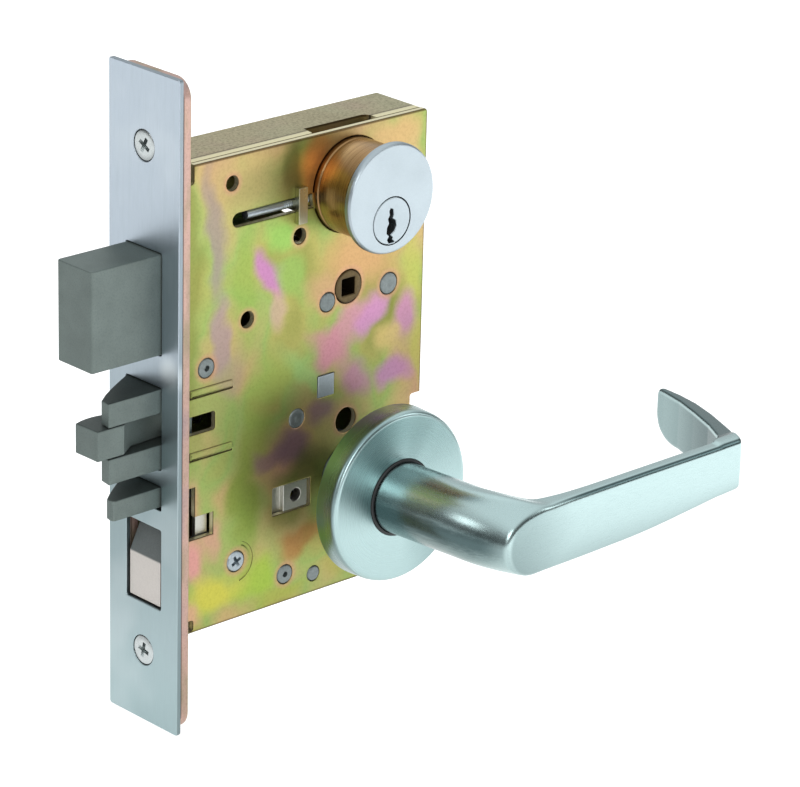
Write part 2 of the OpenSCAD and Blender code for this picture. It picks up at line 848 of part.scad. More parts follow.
module lever() color("lightsteelblue") {
    half = square / 2 + 0.05;
    depth = 26;
    difference() {
        union() {
            bar_y([backset, 0], [shank_bend_y, shank_back], shank_r);
            // shank, which leans towards the paddle
            hull() {
                bar_y([backset, 0], [shank_bend_y - 0.1, shank_bend_y], shank_r, 48);
                bar_y([backset + at_y(paddle_back), 0], [paddle_back - 1, paddle_back], shank_r, 48);
            }
            // paddle and return, cut from their plan by their outline from the front
            intersection() {
                translate([0, 0, -12])
                    linear_extrude(21.2)
                        lever_plan();
                plate_y([-90, -30])
                    polygon(concat(
                        arc([78, -1.2], 10.4, 100, 262, 10),
                        [[90, -11.4], [158, -8]],
                        [[186, -1], [186, 8.4]],
                        [[166, paddle_top], [86, paddle_top]]
                    ));
            }
            intersection() {
                translate([0, 0, -11])
                    linear_extrude(20)
                        lever_plan();
                bar_y([backset + at_y(paddle_back), 0], [-90, -70], shank_r);
            }
        }
        block(
            [backset - half, backset + half], [shank_back - depth - 1, shank_back + 1], [-half, half]);
        // groove for the retaining ring
        difference() {
            bar_y([backset, 0], [-27.4, -26.4], shank_r + 1);
            bar_y([backset, 0], [-28, -26], shank_r - 0.9);
        }
        bar_z([backset, -42], [-12, -3], 2);
    }
}

module retaining_ring() color("dimgray") {
    difference() {
        bar_y([backset, 0], [-27.3, -26.5], 13);
        bar_y([backset, 0], [-28, -26], shank_r - 0.88);
        block([backset - 2, backset + 2], [-28, -26], [-14, -8]);
    }
}

module lever_screw() color("dimgray") {
    difference() {
        bar_z([backset, -42], [-9.9, -4.3], 1.95);
        translate([backset, -42, -10.5])
            cylinder(r = 1.1, h = 2.6, $fn = 6);
    }
}

// ---- Stop works ----

module rocker() color("gray") {
    a = rocker_fold;
    ridge_z = rocker_pivot[1] + rocker_reach * sin(a / 2);
    ridge = [rocker_face_x, ridge_z];
    low = ridge - [0, rocker_half];
    high = ridge + rocker_half * [sin(a), cos(a)];
    tail = rocker_pivot + rocker_tail * [cos(a / 2), -sin(a / 2)];
    difference() {
        union() {
            plate_y([-rocker_half_w, rocker_half_w])
                polygon([
                    ridge, low, low + [2.2, 0.3], rocker_pivot + [1.4, -3.4], rocker_pivot + [3, 0],
                    rocker_pivot + [1.6, 3.2], high + [2.4, -1], high
                ]);
            plate_y([-6.2, -4.4])
                polygon([rocker_pivot + [0, 2], rocker_pivot + [0, -3], tail + [1.8, -1], tail + [1.8, 1.4]]);
            bar_y(tail, [slide_y[0], -4.4], 1.1);
        }
        bar_y(rocker_pivot, [-9, 9], 1.45 + run_gap);
    }
}

module stop_slide() color("silver") {
    tail = rocker_pivot + rocker_tail * [cos(rocker_fold / 2), -sin(rocker_fold / 2)];
    difference() {
        union() {
            block([12.8, 17.3], slide_y, [-9, 0.8]);
            block([13.5, 20], slide_y, [-18.6, -6.4]);
            block([19, 40], slide_y, [-13.5, -10.5]);
        }
        block([tail[0] - 1.7, tail[0] + 1.9], [slide_y[0] - 1, slide_y[1] + 1], [tail[1] - 1.3, tail[1] + 1.4]);
    }
}

case();
case_wall();
cover();
inner_front();
armor_front();
armor_screws();
case_posts();
cover_screw();
clamp_screw();
clamp_bar();
square_nut();
deadbolt_guide();
stem_guide();
aux_guide();
deadlock_post();
rocker_bracket();
rocker_pin();
latch_spring();
aux_spring();
cylinder_body();
driver_pins();
pin_springs();
rose();
rose_plate();
rose_bushing();
return_spring();
deadbolt();
deadbolt_tail();
tail_rivets();
cam_lug();
thumb_hub();
latchbolt();
latch_stem();
stem_crossbar();
tongue_pin();
latch_tongue();
aux_latch();
aux_stem();
deadlock_lever();
plug();
key_pins();
cam();
cam_screws();
lever();
outer_hub();
spindle();
retaining_ring();
lever_screw();
inner_hub();
rocker();
stop_slide();
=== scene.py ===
import json
import math

import bmesh
import bpy
import numpy as np
from mathutils import Matrix, Vector

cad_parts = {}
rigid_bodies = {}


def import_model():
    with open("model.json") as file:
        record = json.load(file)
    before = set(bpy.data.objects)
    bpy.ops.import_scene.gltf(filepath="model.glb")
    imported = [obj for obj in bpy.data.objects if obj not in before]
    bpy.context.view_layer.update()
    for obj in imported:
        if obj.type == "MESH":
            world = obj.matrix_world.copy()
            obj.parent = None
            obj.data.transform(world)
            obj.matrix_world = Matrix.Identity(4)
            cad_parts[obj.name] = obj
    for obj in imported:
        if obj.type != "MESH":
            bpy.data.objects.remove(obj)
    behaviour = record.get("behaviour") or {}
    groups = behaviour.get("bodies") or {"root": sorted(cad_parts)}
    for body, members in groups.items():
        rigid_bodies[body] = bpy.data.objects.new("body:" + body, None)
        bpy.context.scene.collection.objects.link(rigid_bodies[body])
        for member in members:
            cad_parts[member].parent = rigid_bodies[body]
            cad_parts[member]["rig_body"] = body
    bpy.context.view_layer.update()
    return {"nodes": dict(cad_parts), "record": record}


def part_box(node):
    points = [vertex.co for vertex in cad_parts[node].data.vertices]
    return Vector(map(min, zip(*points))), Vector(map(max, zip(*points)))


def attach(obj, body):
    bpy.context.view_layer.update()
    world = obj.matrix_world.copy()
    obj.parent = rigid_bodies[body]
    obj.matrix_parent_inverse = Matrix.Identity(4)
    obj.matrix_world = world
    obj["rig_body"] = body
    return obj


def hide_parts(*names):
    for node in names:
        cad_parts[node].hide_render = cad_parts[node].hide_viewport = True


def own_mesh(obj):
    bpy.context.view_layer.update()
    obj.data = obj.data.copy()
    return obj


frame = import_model()
MM = 0.001

# Key places of the lock, in mm in the row frame, as the CAD source has them
BACKSET = 69.85
CYLINDER_Z = 92.1
PLUG_Z = 85.4
THUMB_Z = 60.0
COVER_OUT, COVER_IN = -11.1, -8.9
FLOOR_IN, FLOOR_OUT = 8.6, 11.1
CASE_Z = (-36.155, 109.895)
CASE_X = (4.8, 100.5)
# posts: x, z, radius, depth of the middle dimple
POSTS = [(61.6, 56.8, 3.0, 0.12), (86.2, 57.4, 3.4, 0.12), (14.6, 46.9, 3.0, 1.5), (50.1, 22.5, 3.0, 0.12),
         (46.2, -27.1, 3.0, 1.5), (57.8, -30.0, 2.4, 0.05)]
# heights of the holes above and below the lever's axis
THROUGH_Z = (17.2, -17.2)
COVER_SCREW = (26.6, -17.5)
# x and z of the square window through cover and case
WINDOW = (58.2, 64.8, 26.9, 33.9)
# edges sharper than this many degrees stay sharp
SHARP = 32


# ---- Materials ----

EVEN = (1, 1, 1)


def srgb(r, g, b):
    """A colour given as 0 to 255 on the screen, as the linear colour that a shader takes."""
    def one(c):
        c = c / 255
        return c / 12.92 if c <= 0.04045 else ((c + 0.055) / 1.055) ** 2.4
    return (one(r), one(g), one(b), 1.0)


class Paint:
    """A material's node tree, with short calls for its nodes. Positions are in mm in the row frame."""

    def __init__(self, name):
        self.mat = bpy.data.materials.new(name)
        self.mat.use_nodes = True
        self.tree = self.mat.node_tree
        self.tree.nodes.clear()
        out = self.tree.nodes.new("ShaderNodeOutputMaterial")
        self.bsdf = self.tree.nodes.new("ShaderNodeBsdfPrincipled")
        self.tree.links.new(self.bsdf.outputs[0], out.inputs[0])
        place = self.add("TexCoord").outputs["Object"]
        self.p = self.vec("SCALE", place, scale=1000)

    def add(self, kind, ins=None, **props):
        node = self.tree.nodes.new("ShaderNode" + kind)
        for key, value in props.items():
            setattr(node, key, value)
        for key, value in (ins or {}).items():
            self.put(node.inputs[key], value)
        return node

    def put(self, socket, value):
        if isinstance(value, bpy.types.NodeSocket):
            self.tree.links.new(value, socket)
        else:
            socket.default_value = value

    def vec(self, op, a, b=None, c=None, scale=None):
        node = self.add("VectorMath", {0: a}, operation=op)
        if b is not None:
            self.put(node.inputs[1], b)
        if c is not None:
            self.put(node.inputs[2], c)
        if scale is not None:
            self.put(node.inputs[3], scale)
        return node.outputs["Value" if op in ("LENGTH", "DOT_PRODUCT") else "Vector"]

    def math(self, op, a, b=0.0, c=0.0):
        return self.add("Math", {0: a, 1: b, 2: c}, operation=op).outputs[0]

    def times(self, a, b):
        return self.math("MULTIPLY", a, b)

    def scaled(self, a, factor, more):
        return self.math("MULTIPLY_ADD", a, factor, more)

    def larger(self, a, b):
        return self.math("MAXIMUM", a, b)

    def noise(self, scale, detail=2.0, where=None, stretch=EVEN, rough=0.5):
        where = self.vec("MULTIPLY", where or self.p, stretch)
        node = self.add("TexNoise", {"Vector": where, "Scale": scale, "Detail": detail, "Roughness": rough})
        return node.outputs["Fac"]

    def fade(self, value, a, b, low=0.0, high=1.0):
        """low where value is a, high where it is b, and smooth between."""
        node = self.add("MapRange", {0: value, 1: a, 2: b, 3: low, 4: high}, interpolation_type="SMOOTHSTEP")
        return node.outputs[0]

    def mix(self, share, a, b, blend="MIX"):
        node = self.add("Mix", {0: share, 6: a, 7: b}, data_type="RGBA", blend_type=blend)
        return node.outputs[2]

    def ramp(self, value, stops):
        node = self.add("ValToRGB", {0: value})
        while len(node.color_ramp.elements) < len(stops):
            node.color_ramp.elements.new(0.5)
        for element, (place, colour) in zip(node.color_ramp.elements, stops):
            element.position = place
            element.color = colour
        return node.outputs[0]

    def split(self, vector=None):
        return self.add("SeparateXYZ", {0: vector or self.p}).outputs

    def normal(self):
        """The surface's own direction in the row frame at rest, as three shares."""
        return self.split(self.add("TexCoord").outputs["Normal"])

    def bump(self, height, strength, depth_mm):
        node = self.add("Bump", {"Height": height, "Strength": strength, "Distance": depth_mm * MM})
        self.put(self.bsdf.inputs["Normal"], node.outputs[0])

    def set(self, **values):
        for key, value in values.items():
            self.put(self.bsdf.inputs[key.replace("_", " ")], value)
        return self.mat


def metal(name, colour, rough, streak, streak_scale, spots, bump):
    """A plated or bare metal: fine streaks along its brushing, faint clouds, and rubs in its roughness."""
    darker = 0.72
    k = Paint(name)
    lines = k.noise(streak_scale, 3.0, stretch=streak)
    clouds = k.noise(0.09, 3.0)
    shade = tuple(c * darker for c in colour[:3]) + (1.0,)
    base = k.mix(k.fade(lines, 0.25, 0.8, 0.0, spots * 4), colour, shade)
    base = k.mix(k.fade(clouds, 0.35, 0.75, 0.0, spots * 3), base, shade)
    tone = k.scaled(lines, 0.16, rough - 0.08)
    tone = k.scaled(clouds, 0.10, k.math("ADD", tone, -0.05))
    k.bump(lines, bump, 0.02)
    return k.set(Base_Color=base, Roughness=tone, Metallic=1.0)


def iridescent():
    """Yellow zinc dichromate on the cover: olive and green with drifts of magenta, orange and violet."""
    k = Paint("zinc_yellow")
    drift = k.add("TexNoise", {"Vector": k.p, "Scale": 0.055, "Detail": 2.5}).outputs["Color"]
    drift = k.vec("SUBTRACT", drift, (0.5, 0.5, 0.5))
    p = k.vec("ADD", k.p, k.vec("SCALE", drift, scale=16.0))
    turned = {0: p}
    for angle in (-35, 35, 60):
        turned[angle] = k.add(
            "VectorRotate", {"Vector": p, "Axis": (0, 1, 0), "Angle": math.radians(angle)}, rotation_type="AXIS_ANGLE"
        ).outputs[0]
    field = k.noise(0.032, 2.0, where=p, stretch=(1.0, 0.4, 0.7))
    colour = k.ramp(field, [
        (0.28, srgb(134, 142, 70)), (0.42, srgb(176, 174, 100)), (0.5, srgb(158, 182, 104)),
        (0.6, srgb(198, 178, 122)), (0.74, srgb(204, 164, 134)),
    ])
    # drifts of colour: x, z, half width, half height, turn in degrees, colour, strength
    drifts = [
        (8, 75, 5, 60, 0, (136, 146, 74), 0.75), (17.5, 85, 3.4, 26, 0, (158, 144, 146), 0.75),
        (20, 55, 3, 12, 0, (168, 142, 164), 0.65), (36, 98, 15, 8, 0, (166, 160, 104), 0.75),
        # the dark olive drift at (46, 100) is painted shade beside the cylinder, and the orange one at (57, 99) a
        # painted reflection of its brass
        (46, 100, 5, 12, 0, (104, 100, 56), 0.6), (57, 99, 8, 9, 0, (216, 152, 90), 0.85),
        (88, 104, 12, 6, 0, (214, 176, 128), 0.8), (97, 86, 5, 18, 0, (226, 184, 146), 0.85),
        (44, 82, 9, 6, -35, (146, 200, 100), 0.8), (39, 70, 5, 10.5, 35, (194, 130, 190), 0.9),
        (41, 58, 4, 8, 0, (204, 170, 160), 0.7), (48, 66, 5, 10, 35, (142, 186, 96), 0.7),
        (78, 70, 20, 12, 0, (212, 168, 122), 0.85), (60, 62, 8, 6, 0, (202, 162, 128), 0.7),
        (28, 68, 6, 20, 0, (144, 178, 84), 0.7), (96, 60, 5, 14, 0, (190, 196, 100), 0.75),
        (72, 84, 10, 5, 0, (198, 184, 118), 0.6), (70, 47, 18, 5, 35, (210, 150, 170), 0.85),
        (62, 42, 12, 5, -35, (206, 142, 160), 0.8), (78, 50, 5, 8, -35, (206, 148, 200), 0.85),
        (92, 45, 6, 10, 0, (204, 142, 190), 0.85), (88, 28, 8, 5, 0, (196, 136, 190), 0.85),
        (87, 39, 4.5, 8, 35, (218, 194, 128), 0.85), (73, 31, 6, 9, 35, (190, 134, 170), 0.8),
        (52, 38, 15, 4, -35, (162, 200, 124), 0.8), (97, 32, 3, 14, 0, (196, 196, 100), 0.7),
        (38, 38, 9, 8, 0, (168, 188, 96), 0.8), (62, 33, 9, 4, 35, (176, 178, 96), 0.6),
        (34, 20, 6, 14, 0, (160, 178, 84), 0.7), (40, 13, 7, 5, 0, (166, 130, 140), 0.75),
        (50, 13, 11, 6, -35, (140, 112, 132), 0.8), (58, 24, 6, 6, 0, (150, 116, 142), 0.7),
        # the dark olive drifts at (56, 2) and (46, -4) are painted shade beside the rose
        (56, 2, 9, 12, -35, (112, 122, 54), 0.8), (46, -4, 8, 10, 0, (118, 134, 58), 0.75),
        (52, -16, 10, 5, 35, (178, 126, 70), 0.8), (10, 4, 5, 12, 0, (208, 162, 134), 0.85),
        (8, -14, 5, 8, 0, (224, 158, 162), 0.85), (16, -8, 6, 6, 35, (216, 160, 150), 0.7),
        (30, 0, 6, 20, 0, (138, 160, 66), 0.8), (18, -25, 12, 7, 0, (214, 210, 84), 0.85),
        (34, -25, 9, 8, 0, (166, 200, 72), 0.8), (8, -31, 5, 5, 0, (226, 176, 150), 0.8),
        (42, -33, 12, 4, 0, (170, 182, 84), 0.7), (66, -30, 8, 6, 0, (178, 176, 96), 0.7),
        (24, 44, 6, 10, 0, (178, 156, 146), 0.5),
    ]
    for x, z, w, h, turn, tint, strength in drifts:
        a = math.radians(turn)
        # the drift's middle, in the turned coordinates
        cx, cz = x * math.cos(a) + z * math.sin(a), -x * math.sin(a) + z * math.cos(a)
        reach = k.vec("LENGTH", k.vec("MULTIPLY_ADD", turned[turn], (1 / w, 0, 1 / h), (-cx / w, 0, -cz / h)))
        colour = k.mix(k.fade(reach, 1.25, 0.35, 0.0, strength), colour, srgb(*tint))
    # pale pinkish rings round the holes
    holes = [(24, 101.5, 2.3), (50.2, 80, 2.4), (30.2, 58.4, 2.5), (BACKSET, THUMB_Z, 5.4),
             (BACKSET, THROUGH_Z[0], 4.0), (14.6, 46.9, 3.1), (61.6, 56.8, 3.1), (86.2, 57.4, 3.5),
             (*COVER_SCREW, 3.4), (46.2, -27.1, 3.1)]
    for x, z, r in holes:
        away = k.vec("LENGTH", k.vec("MULTIPLY_ADD", k.p, (1, 0, 1), (-x, 0, -z)))
        colour = k.mix(k.fade(away, r + 2.2, r + 0.1, 0.0, 0.6), colour, srgb(208, 160, 132))
    # the folded walls are duller than the cover, with a fine dark grain
    n = k.normal()
    grain = k.noise(1.1, 4.0, rough=0.7)
    wall = k.ramp(k.noise(0.05, 3.0), [
        (0.3, srgb(164, 160, 124)), (0.55, srgb(188, 182, 148)), (0.75, srgb(186, 168, 144)),
    ])
    colour = k.mix(k.fade(n[1], -0.7, -0.3, 0.0, 0.9), colour, wall)
    dark = k.mix(k.fade(n[1], -0.6, -0.2, 0.12, 0.5), srgb(255, 255, 255), srgb(110, 108, 84))
    colour = k.mix(k.fade(grain, 0.42, 0.68), colour, k.mix(1.0, colour, dark, "MULTIPLY"))
    # painted highlights along the walls' rounded edges, with dark seams between wall and cover: y, half width, colour
    x, y, z = k.split()
    on_wall = k.fade(n[1], -0.85, -0.5)
    for middle, half, tint in (
            (-7.6, 1.5, (255, 250, 210)), (-10.0, 1.0, (255, 250, 214)), (-5.8, 0.35, (96, 86, 56)),
            (-8.9, 0.5, (58, 44, 26)), (-11.0, 0.35, (76, 56, 32))):
        off = k.math("ABSOLUTE", k.math("SUBTRACT", y, middle))
        seam_and_highlight = k.times(on_wall, k.fade(off, half, half * 0.6, 0.0, 0.85))
        colour = k.mix(seam_and_highlight, colour, srgb(*tint))
    # and a brown line round the cover's face
    rim = k.larger(k.fade(x, 99.7, 100.2), k.fade(z, -35.3, -35.8))
    rim = k.larger(k.fade(z, 109.0, 109.5), rim)
    colour = k.mix(k.times(rim, k.fade(n[1], -0.5, -0.8, 0.0, 0.75)), colour, srgb(86, 64, 38))
    lengthwise = k.noise(0.8, 2.0, stretch=(0.15, 1, 1))
    tone = k.scaled(grain, 0.18, k.scaled(field, 0.25, 0.16))
    k.bump(k.scaled(lengthwise, 0.5, grain), 0.22, 0.03)
    colour = k.mix(1.0, colour, srgb(232, 228, 222), "MULTIPLY")
    return k.set(Base_Color=colour, Roughness=tone, Metallic=0.82)


def pinkish():
    """Zinc on the inner front's edges: rosy, with an olive edge and a fine grain."""
    k = Paint("zinc_pink")
    clouds = k.noise(0.12, 3.0, stretch=(1, 1, 0.4))
    colour = k.ramp(clouds, [(0.3, srgb(148, 138, 112)), (0.5, srgb(190, 158, 146)), (0.7, srgb(170, 146, 144))])
    x = k.split()[0]
    colour = k.mix(k.fade(x, 4.2, 4.75, 0.0, 0.6), colour, srgb(150, 150, 96))
    colour = k.mix(k.fade(x, 2.3, 1.9, 0.0, 0.85), colour, srgb(52, 46, 44))
    grain = k.noise(1.6, 4.0, rough=0.7)
    colour = k.mix(k.fade(grain, 0.45, 0.8, 0.0, 0.3), colour, srgb(96, 84, 78))
    k.bump(grain, 0.2, 0.03)
    return k.set(Base_Color=colour, Roughness=k.scaled(grain, 0.2, 0.36), Metallic=0.8)


def sintered():
    """Sintered steel of the bolts: matte green-grey and pitted, with painted shade on the top faces of the bolts below
    the deadbolt.
    """
    k = Paint("steel_dark")
    grain = k.noise(2.2, 5.0, rough=0.75)
    clouds = k.noise(0.14, 2.0)
    n = k.normal()
    colour = k.mix(clouds, srgb(118, 130, 126), srgb(98, 108, 105))
    colour = k.mix(k.fade(grain, 0.45, 0.75, 0.0, 0.4), colour, srgb(80, 88, 86))
    z = k.split()[2]
    # painted shade: the top faces of the latch and the lower bolts, below the deadbolt, are darkened
    low = k.fade(z, 53, 44)
    colour = k.mix(k.times(k.fade(n[2], 0.5, 0.9, 0.0, 0.7), low), colour, srgb(56, 62, 60))
    k.bump(grain, 0.35, 0.04)
    return k.set(Base_Color=colour, Roughness=k.scaled(grain, 0.22, 0.42), Metallic=0.65)


def brass():
    """Turned brass of the cylinder's body: golden brown with a fine lathe finish and darker bands."""
    k = Paint("brass")
    bands = k.noise(0.5, 2.0, stretch=(0.02, 1, 0.02))
    lathe = k.noise(6.0, 2.0, stretch=(0.02, 1, 0.02))
    colour = k.mix(k.fade(bands, 0.35, 0.7), srgb(188, 154, 108), srgb(148, 116, 78))
    # painted shade: darker toward the cover, where the body goes into the case
    y = k.split()[1]
    colour = k.mix(k.fade(y, -14.5, -11.2, 0.0, 0.7), colour, srgb(96, 66, 38))
    k.bump(lathe, 0.35, 0.03)
    return k.set(Base_Color=colour, Roughness=k.scaled(lathe, 0.15, 0.22), Metallic=1.0)


def plastic(name, colour, worn, rough):
    k = Paint(name)
    grain = k.noise(3.0, 3.0)
    rub = k.noise(0.25, 3.0)
    base = k.mix(k.fade(rub, 0.5, 0.8, 0.0, 0.5), colour, worn)
    k.bump(grain, 0.25, 0.02)
    return k.set(Base_Color=base, Roughness=k.scaled(grain, 0.15, rough))


def rocker_paint():
    """The rocker: its lower half pale and its upper half, which faces up, dark grey as painted shade, parted at the
    ridge.
    """
    k = Paint("rocker_grey")
    z = k.split()[2]
    grain = k.noise(2.0, 3.0)
    upper = k.mix(grain, srgb(84, 90, 90), srgb(108, 114, 113))
    lower = k.mix(grain, srgb(206, 200, 194), srgb(188, 182, 176))
    base = k.mix(k.fade(z, -12.9, -12.1), lower, upper)
    k.bump(grain, 0.2, 0.02)
    return k.set(Base_Color=base, Roughness=k.scaled(grain, 0.15, 0.36))


def armour():
    """Satin chrome brushed lengthwise: bluish at the top, with painted shade making it darker and greener below,
    painted shade on its side faces and a painted highlight below the deadbolt.
    """
    k = Paint("armor")
    z = k.split()[2]
    fine = k.noise(3.2, 3.0, stretch=(1, 3.5, 0.05))
    broad = k.noise(0.7, 2.0, stretch=(1, 1, 0.06))
    patch = k.noise(0.03, 2.0)
    colour = k.mix(k.fade(z, -5, 70), srgb(162, 180, 183), srgb(182, 193, 203))
    colour = k.mix(k.fade(z, -66, -30), srgb(158, 178, 180), colour)
    colour = k.mix(k.fade(fine, 0.3, 0.75, 0.0, 0.18), colour, srgb(140, 152, 160))
    colour = k.mix(k.fade(broad, 0.45, 0.75, 0.0, 0.1), colour, srgb(150, 162, 166))
    colour = k.mix(k.fade(patch, 0.5, 0.7, 0.0, 0.2), colour, srgb(214, 222, 224))
    # painted shade on the plate's edges and back, on every face not turned to the front
    n = k.normal()
    colour = k.mix(k.fade(n[0], -0.6, -0.2, 0.0, 0.55), colour, srgb(84, 96, 100))
    # a painted highlight on the plate just below the deadbolt
    glint = k.vec("LENGTH", k.vec("MULTIPLY_ADD", k.p, (0, 0.16, 0.14), (0, 1.9, -6.8)))
    colour = k.mix(k.fade(glint, 1.0, 0.2, 0.0, 0.6), colour, srgb(236, 244, 246))
    k.bump(fine, 0.12, 0.02)
    return k.set(Base_Color=colour, Roughness=k.scaled(fine, 0.16, 0.32), Metallic=1.0)


def lever_trim():
    """Satin chrome of the lever: brushed lengthwise, with painted shade on the shank's side, the face's end, the edge
    above the face, inside the return and toward the face's lower edge.
    """
    k = Paint("trim_lever")
    x, y, z = k.split()
    streaks = k.noise(1.6, 3.0, stretch=(1, 0.06, 1))
    lines = k.noise(3.0, 3.0, stretch=(0.12, 1, 1.6))
    colour = k.mix(k.fade(lines, 0.3, 0.8, 0.0, 0.12), srgb(168, 189, 189), srgb(132, 154, 154))
    # painted shade: dark streaks along the shank's side
    side = k.times(k.fade(x, 70, 64), k.fade(y, -84.4, -83.0))
    band = k.math("ABSOLUTE", k.math("ADD", k.scaled(streaks, 5.0, z), -1.5))
    painted_shade = k.scaled(k.fade(band, 6.0, 1.0), 0.35, k.fade(z, 7.0, 0.0, 0.0, 0.52))
    painted_shade = k.times(side, painted_shade)
    # painted shade on the face's end, within its rim
    beside = k.math("MINIMUM", k.math("ADD", x, -79.0), 0.0)
    off = k.vec("LENGTH", k.add("CombineXYZ", {0: beside, 1: k.math("ADD", z, 1.9)}).outputs[0])
    face = k.times(k.fade(off, 10.6, 9.0), k.fade(x, 100, 70, 0.04, 0.42))
    painted_shade = k.larger(painted_shade, k.times(face, k.fade(y, -83.6, -84.2)))
    # a painted dark reflection on the narrow edge above the face
    edge = k.times(k.fade(z, 7.6, 8.1), k.fade(y, -83.3, -83.9))
    painted_shade = k.larger(painted_shade, k.times(edge, k.fade(x, 80, 100, 0.0, 0.9)))
    # painted shade inside the return and along its top
    inner = k.times(k.fade(x, 158, 162), k.fade(y, -80.5, -79.0))
    deep = k.times(k.fade(y, -38, -70, 0.3, 0.8), k.fade(z, 7.9, 7.0))
    deep = k.larger(deep, k.fade(z, 8.3, 8.7, 0.0, 0.75))
    painted_shade = k.larger(painted_shade, k.times(inner, deep))
    # painted shade: the face grows darker toward its lower edge
    low = k.times(k.fade(z, 2, -12, 0.0, 0.16), k.fade(y, -83.6, -84.2))
    painted_shade = k.larger(painted_shade, low)
    colour = k.mix(painted_shade, colour, srgb(52, 72, 74))
    k.bump(lines, 0.02, 0.02)
    return k.set(Base_Color=colour, Roughness=k.scaled(lines, 0.12, 0.2), Metallic=1.0)


def turned_trim():
    """Satin chrome of the rose: fine rings left by turning, round the lever's axis."""
    k = Paint("trim_rose")
    away = k.vec("LENGTH", k.vec("MULTIPLY_ADD", k.p, (1, 0, 1), (-BACKSET, 0, 0)))
    ring = k.add("CombineXYZ", {0: away}).outputs[0]
    rings = k.noise(5.0, 3.0, where=ring)
    clouds = k.noise(0.08, 2.0)
    colour = k.mix(k.fade(rings, 0.3, 0.75, 0.0, 0.25), srgb(174, 198, 198), srgb(128, 156, 158))
    colour = k.mix(k.fade(clouds, 0.4, 0.8, 0.0, 0.2), colour, srgb(150, 176, 176))
    # painted shade in darker sectors, as a lathe's rings show them under this light (middle, half width, share), and
    # painted shade on the rim's left side
    x, y, z = k.split()
    around = k.math("ARCTAN2", z, k.math("ADD", x, -BACKSET))
    for middle, wide, share in ((2.1, 0.6, 0.5), (-0.8, 0.8, 0.35), (1.2, 0.3, 0.15)):
        gap = k.math("ABSOLUTE", k.math("ADD", around, -middle))
        colour = k.mix(k.fade(gap, wide, 0.05, 0.0, share), colour, srgb(70, 96, 98))
    rim = k.times(k.fade(away, 26.2, 26.7), k.fade(x, 66, 50, 0.0, 0.5))
    colour = k.mix(rim, colour, srgb(66, 88, 92))
    k.bump(rings, 0.10, 0.015)
    k.set(Base_Color=colour, Roughness=k.scaled(rings, 0.12, 0.22), Metallic=1.0, Anisotropic=0.75)
    return k.set(Tangent=k.add("Tangent", direction_type="RADIAL", axis="Y").outputs[0])


PAINT = {
    "armor": armour(),
    "steel_dark": sintered(),
    "zinc_yellow": iridescent(),
    "zinc_pink": pinkish(),
    "brass": brass(),
    "trim_lever": lever_trim(),
    "trim_rose": turned_trim(),
    "black_nylon": plastic("black_nylon", srgb(22, 23, 24), srgb(40, 41, 42), 0.4),
    "rocker_grey": rocker_paint(),
}
# the plain metals: colour, roughness, streaks' stretch and scale, share of spots, bump
METALS = {
    "zinc_clear": ((168, 178, 184), 0.42, EVEN, 1.4, 0.10, 0.2),
    "post_zinc": ((132, 140, 140), 0.5, EVEN, 1.4, 0.14, 0.25),
    "screw_steel": ((190, 196, 196), 0.28, EVEN, 2.0, 0.10, 0.12),
    "satin_chrome": ((166, 177, 183), 0.36, EVEN, 4.0, 0.04, 0.06),
    "trim_chrome": ((168, 190, 190), 0.27, (0.12, 1, 1.6), 3.0, 0.05, 0.03),
    "bright_zinc": ((196, 196, 188), 0.38, EVEN, 1.6, 0.10, 0.2),
    "bar_zinc": ((186, 184, 158), 0.3, (1, 1, 0.3), 1.6, 0.12, 0.15),
    "hub_brown": ((98, 84, 60), 0.42, EVEN, 1.4, 0.2, 0.25),
    "spring_steel": ((120, 122, 124), 0.34, EVEN, 2.0, 0.1, 0.1),
}
for name, (colour, *look) in METALS.items():
    PAINT[name] = metal(name, srgb(*colour), *look)


# ---- Mesh helpers; all lengths in mm ----

def linked(name, data):
    """A new object of the scene that shows the data."""
    obj = bpy.data.objects.new(name, data)
    bpy.context.scene.collection.objects.link(obj)
    return obj


def place(name, mesh, body, slot, nodes=(), paint=None, angle=SHARP, weighted=True):
    """Makes a mesh a piece that rides on a body and stands for CAD nodes."""
    obj = linked(name, mesh)
    mesh.materials.clear()
    mesh.materials.append(PAINT[paint or slot])
    if angle:
        mesh.polygons.foreach_set("use_smooth", [True] * len(mesh.polygons))
        mesh.set_sharp_from_angle(angle=math.radians(angle))
    if weighted:
        keep = obj.modifiers.new("weighted", "WEIGHTED_NORMAL")
        keep.keep_sharp = True
        keep.weight = 80
    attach(obj, body)
    if nodes:
        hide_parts(*nodes)
    return obj


def mesh_of(name, verts, faces):
    mesh = bpy.data.meshes.new(name)
    mesh.from_pydata([tuple(c * MM for c in v) for v in verts], [], faces)
    mesh.update()
    return mesh


AXES = {
    # how an outline's own two directions and its depth lie in the row frame
    "x": Matrix(((0, 0, 1), (1, 0, 0), (0, 1, 0))),
    "y": Matrix(((1, 0, 0), (0, 0, -1), (0, 1, 0))),
    "z": Matrix(((1, 0, 0), (0, 1, 0), (0, 0, 1))),
}


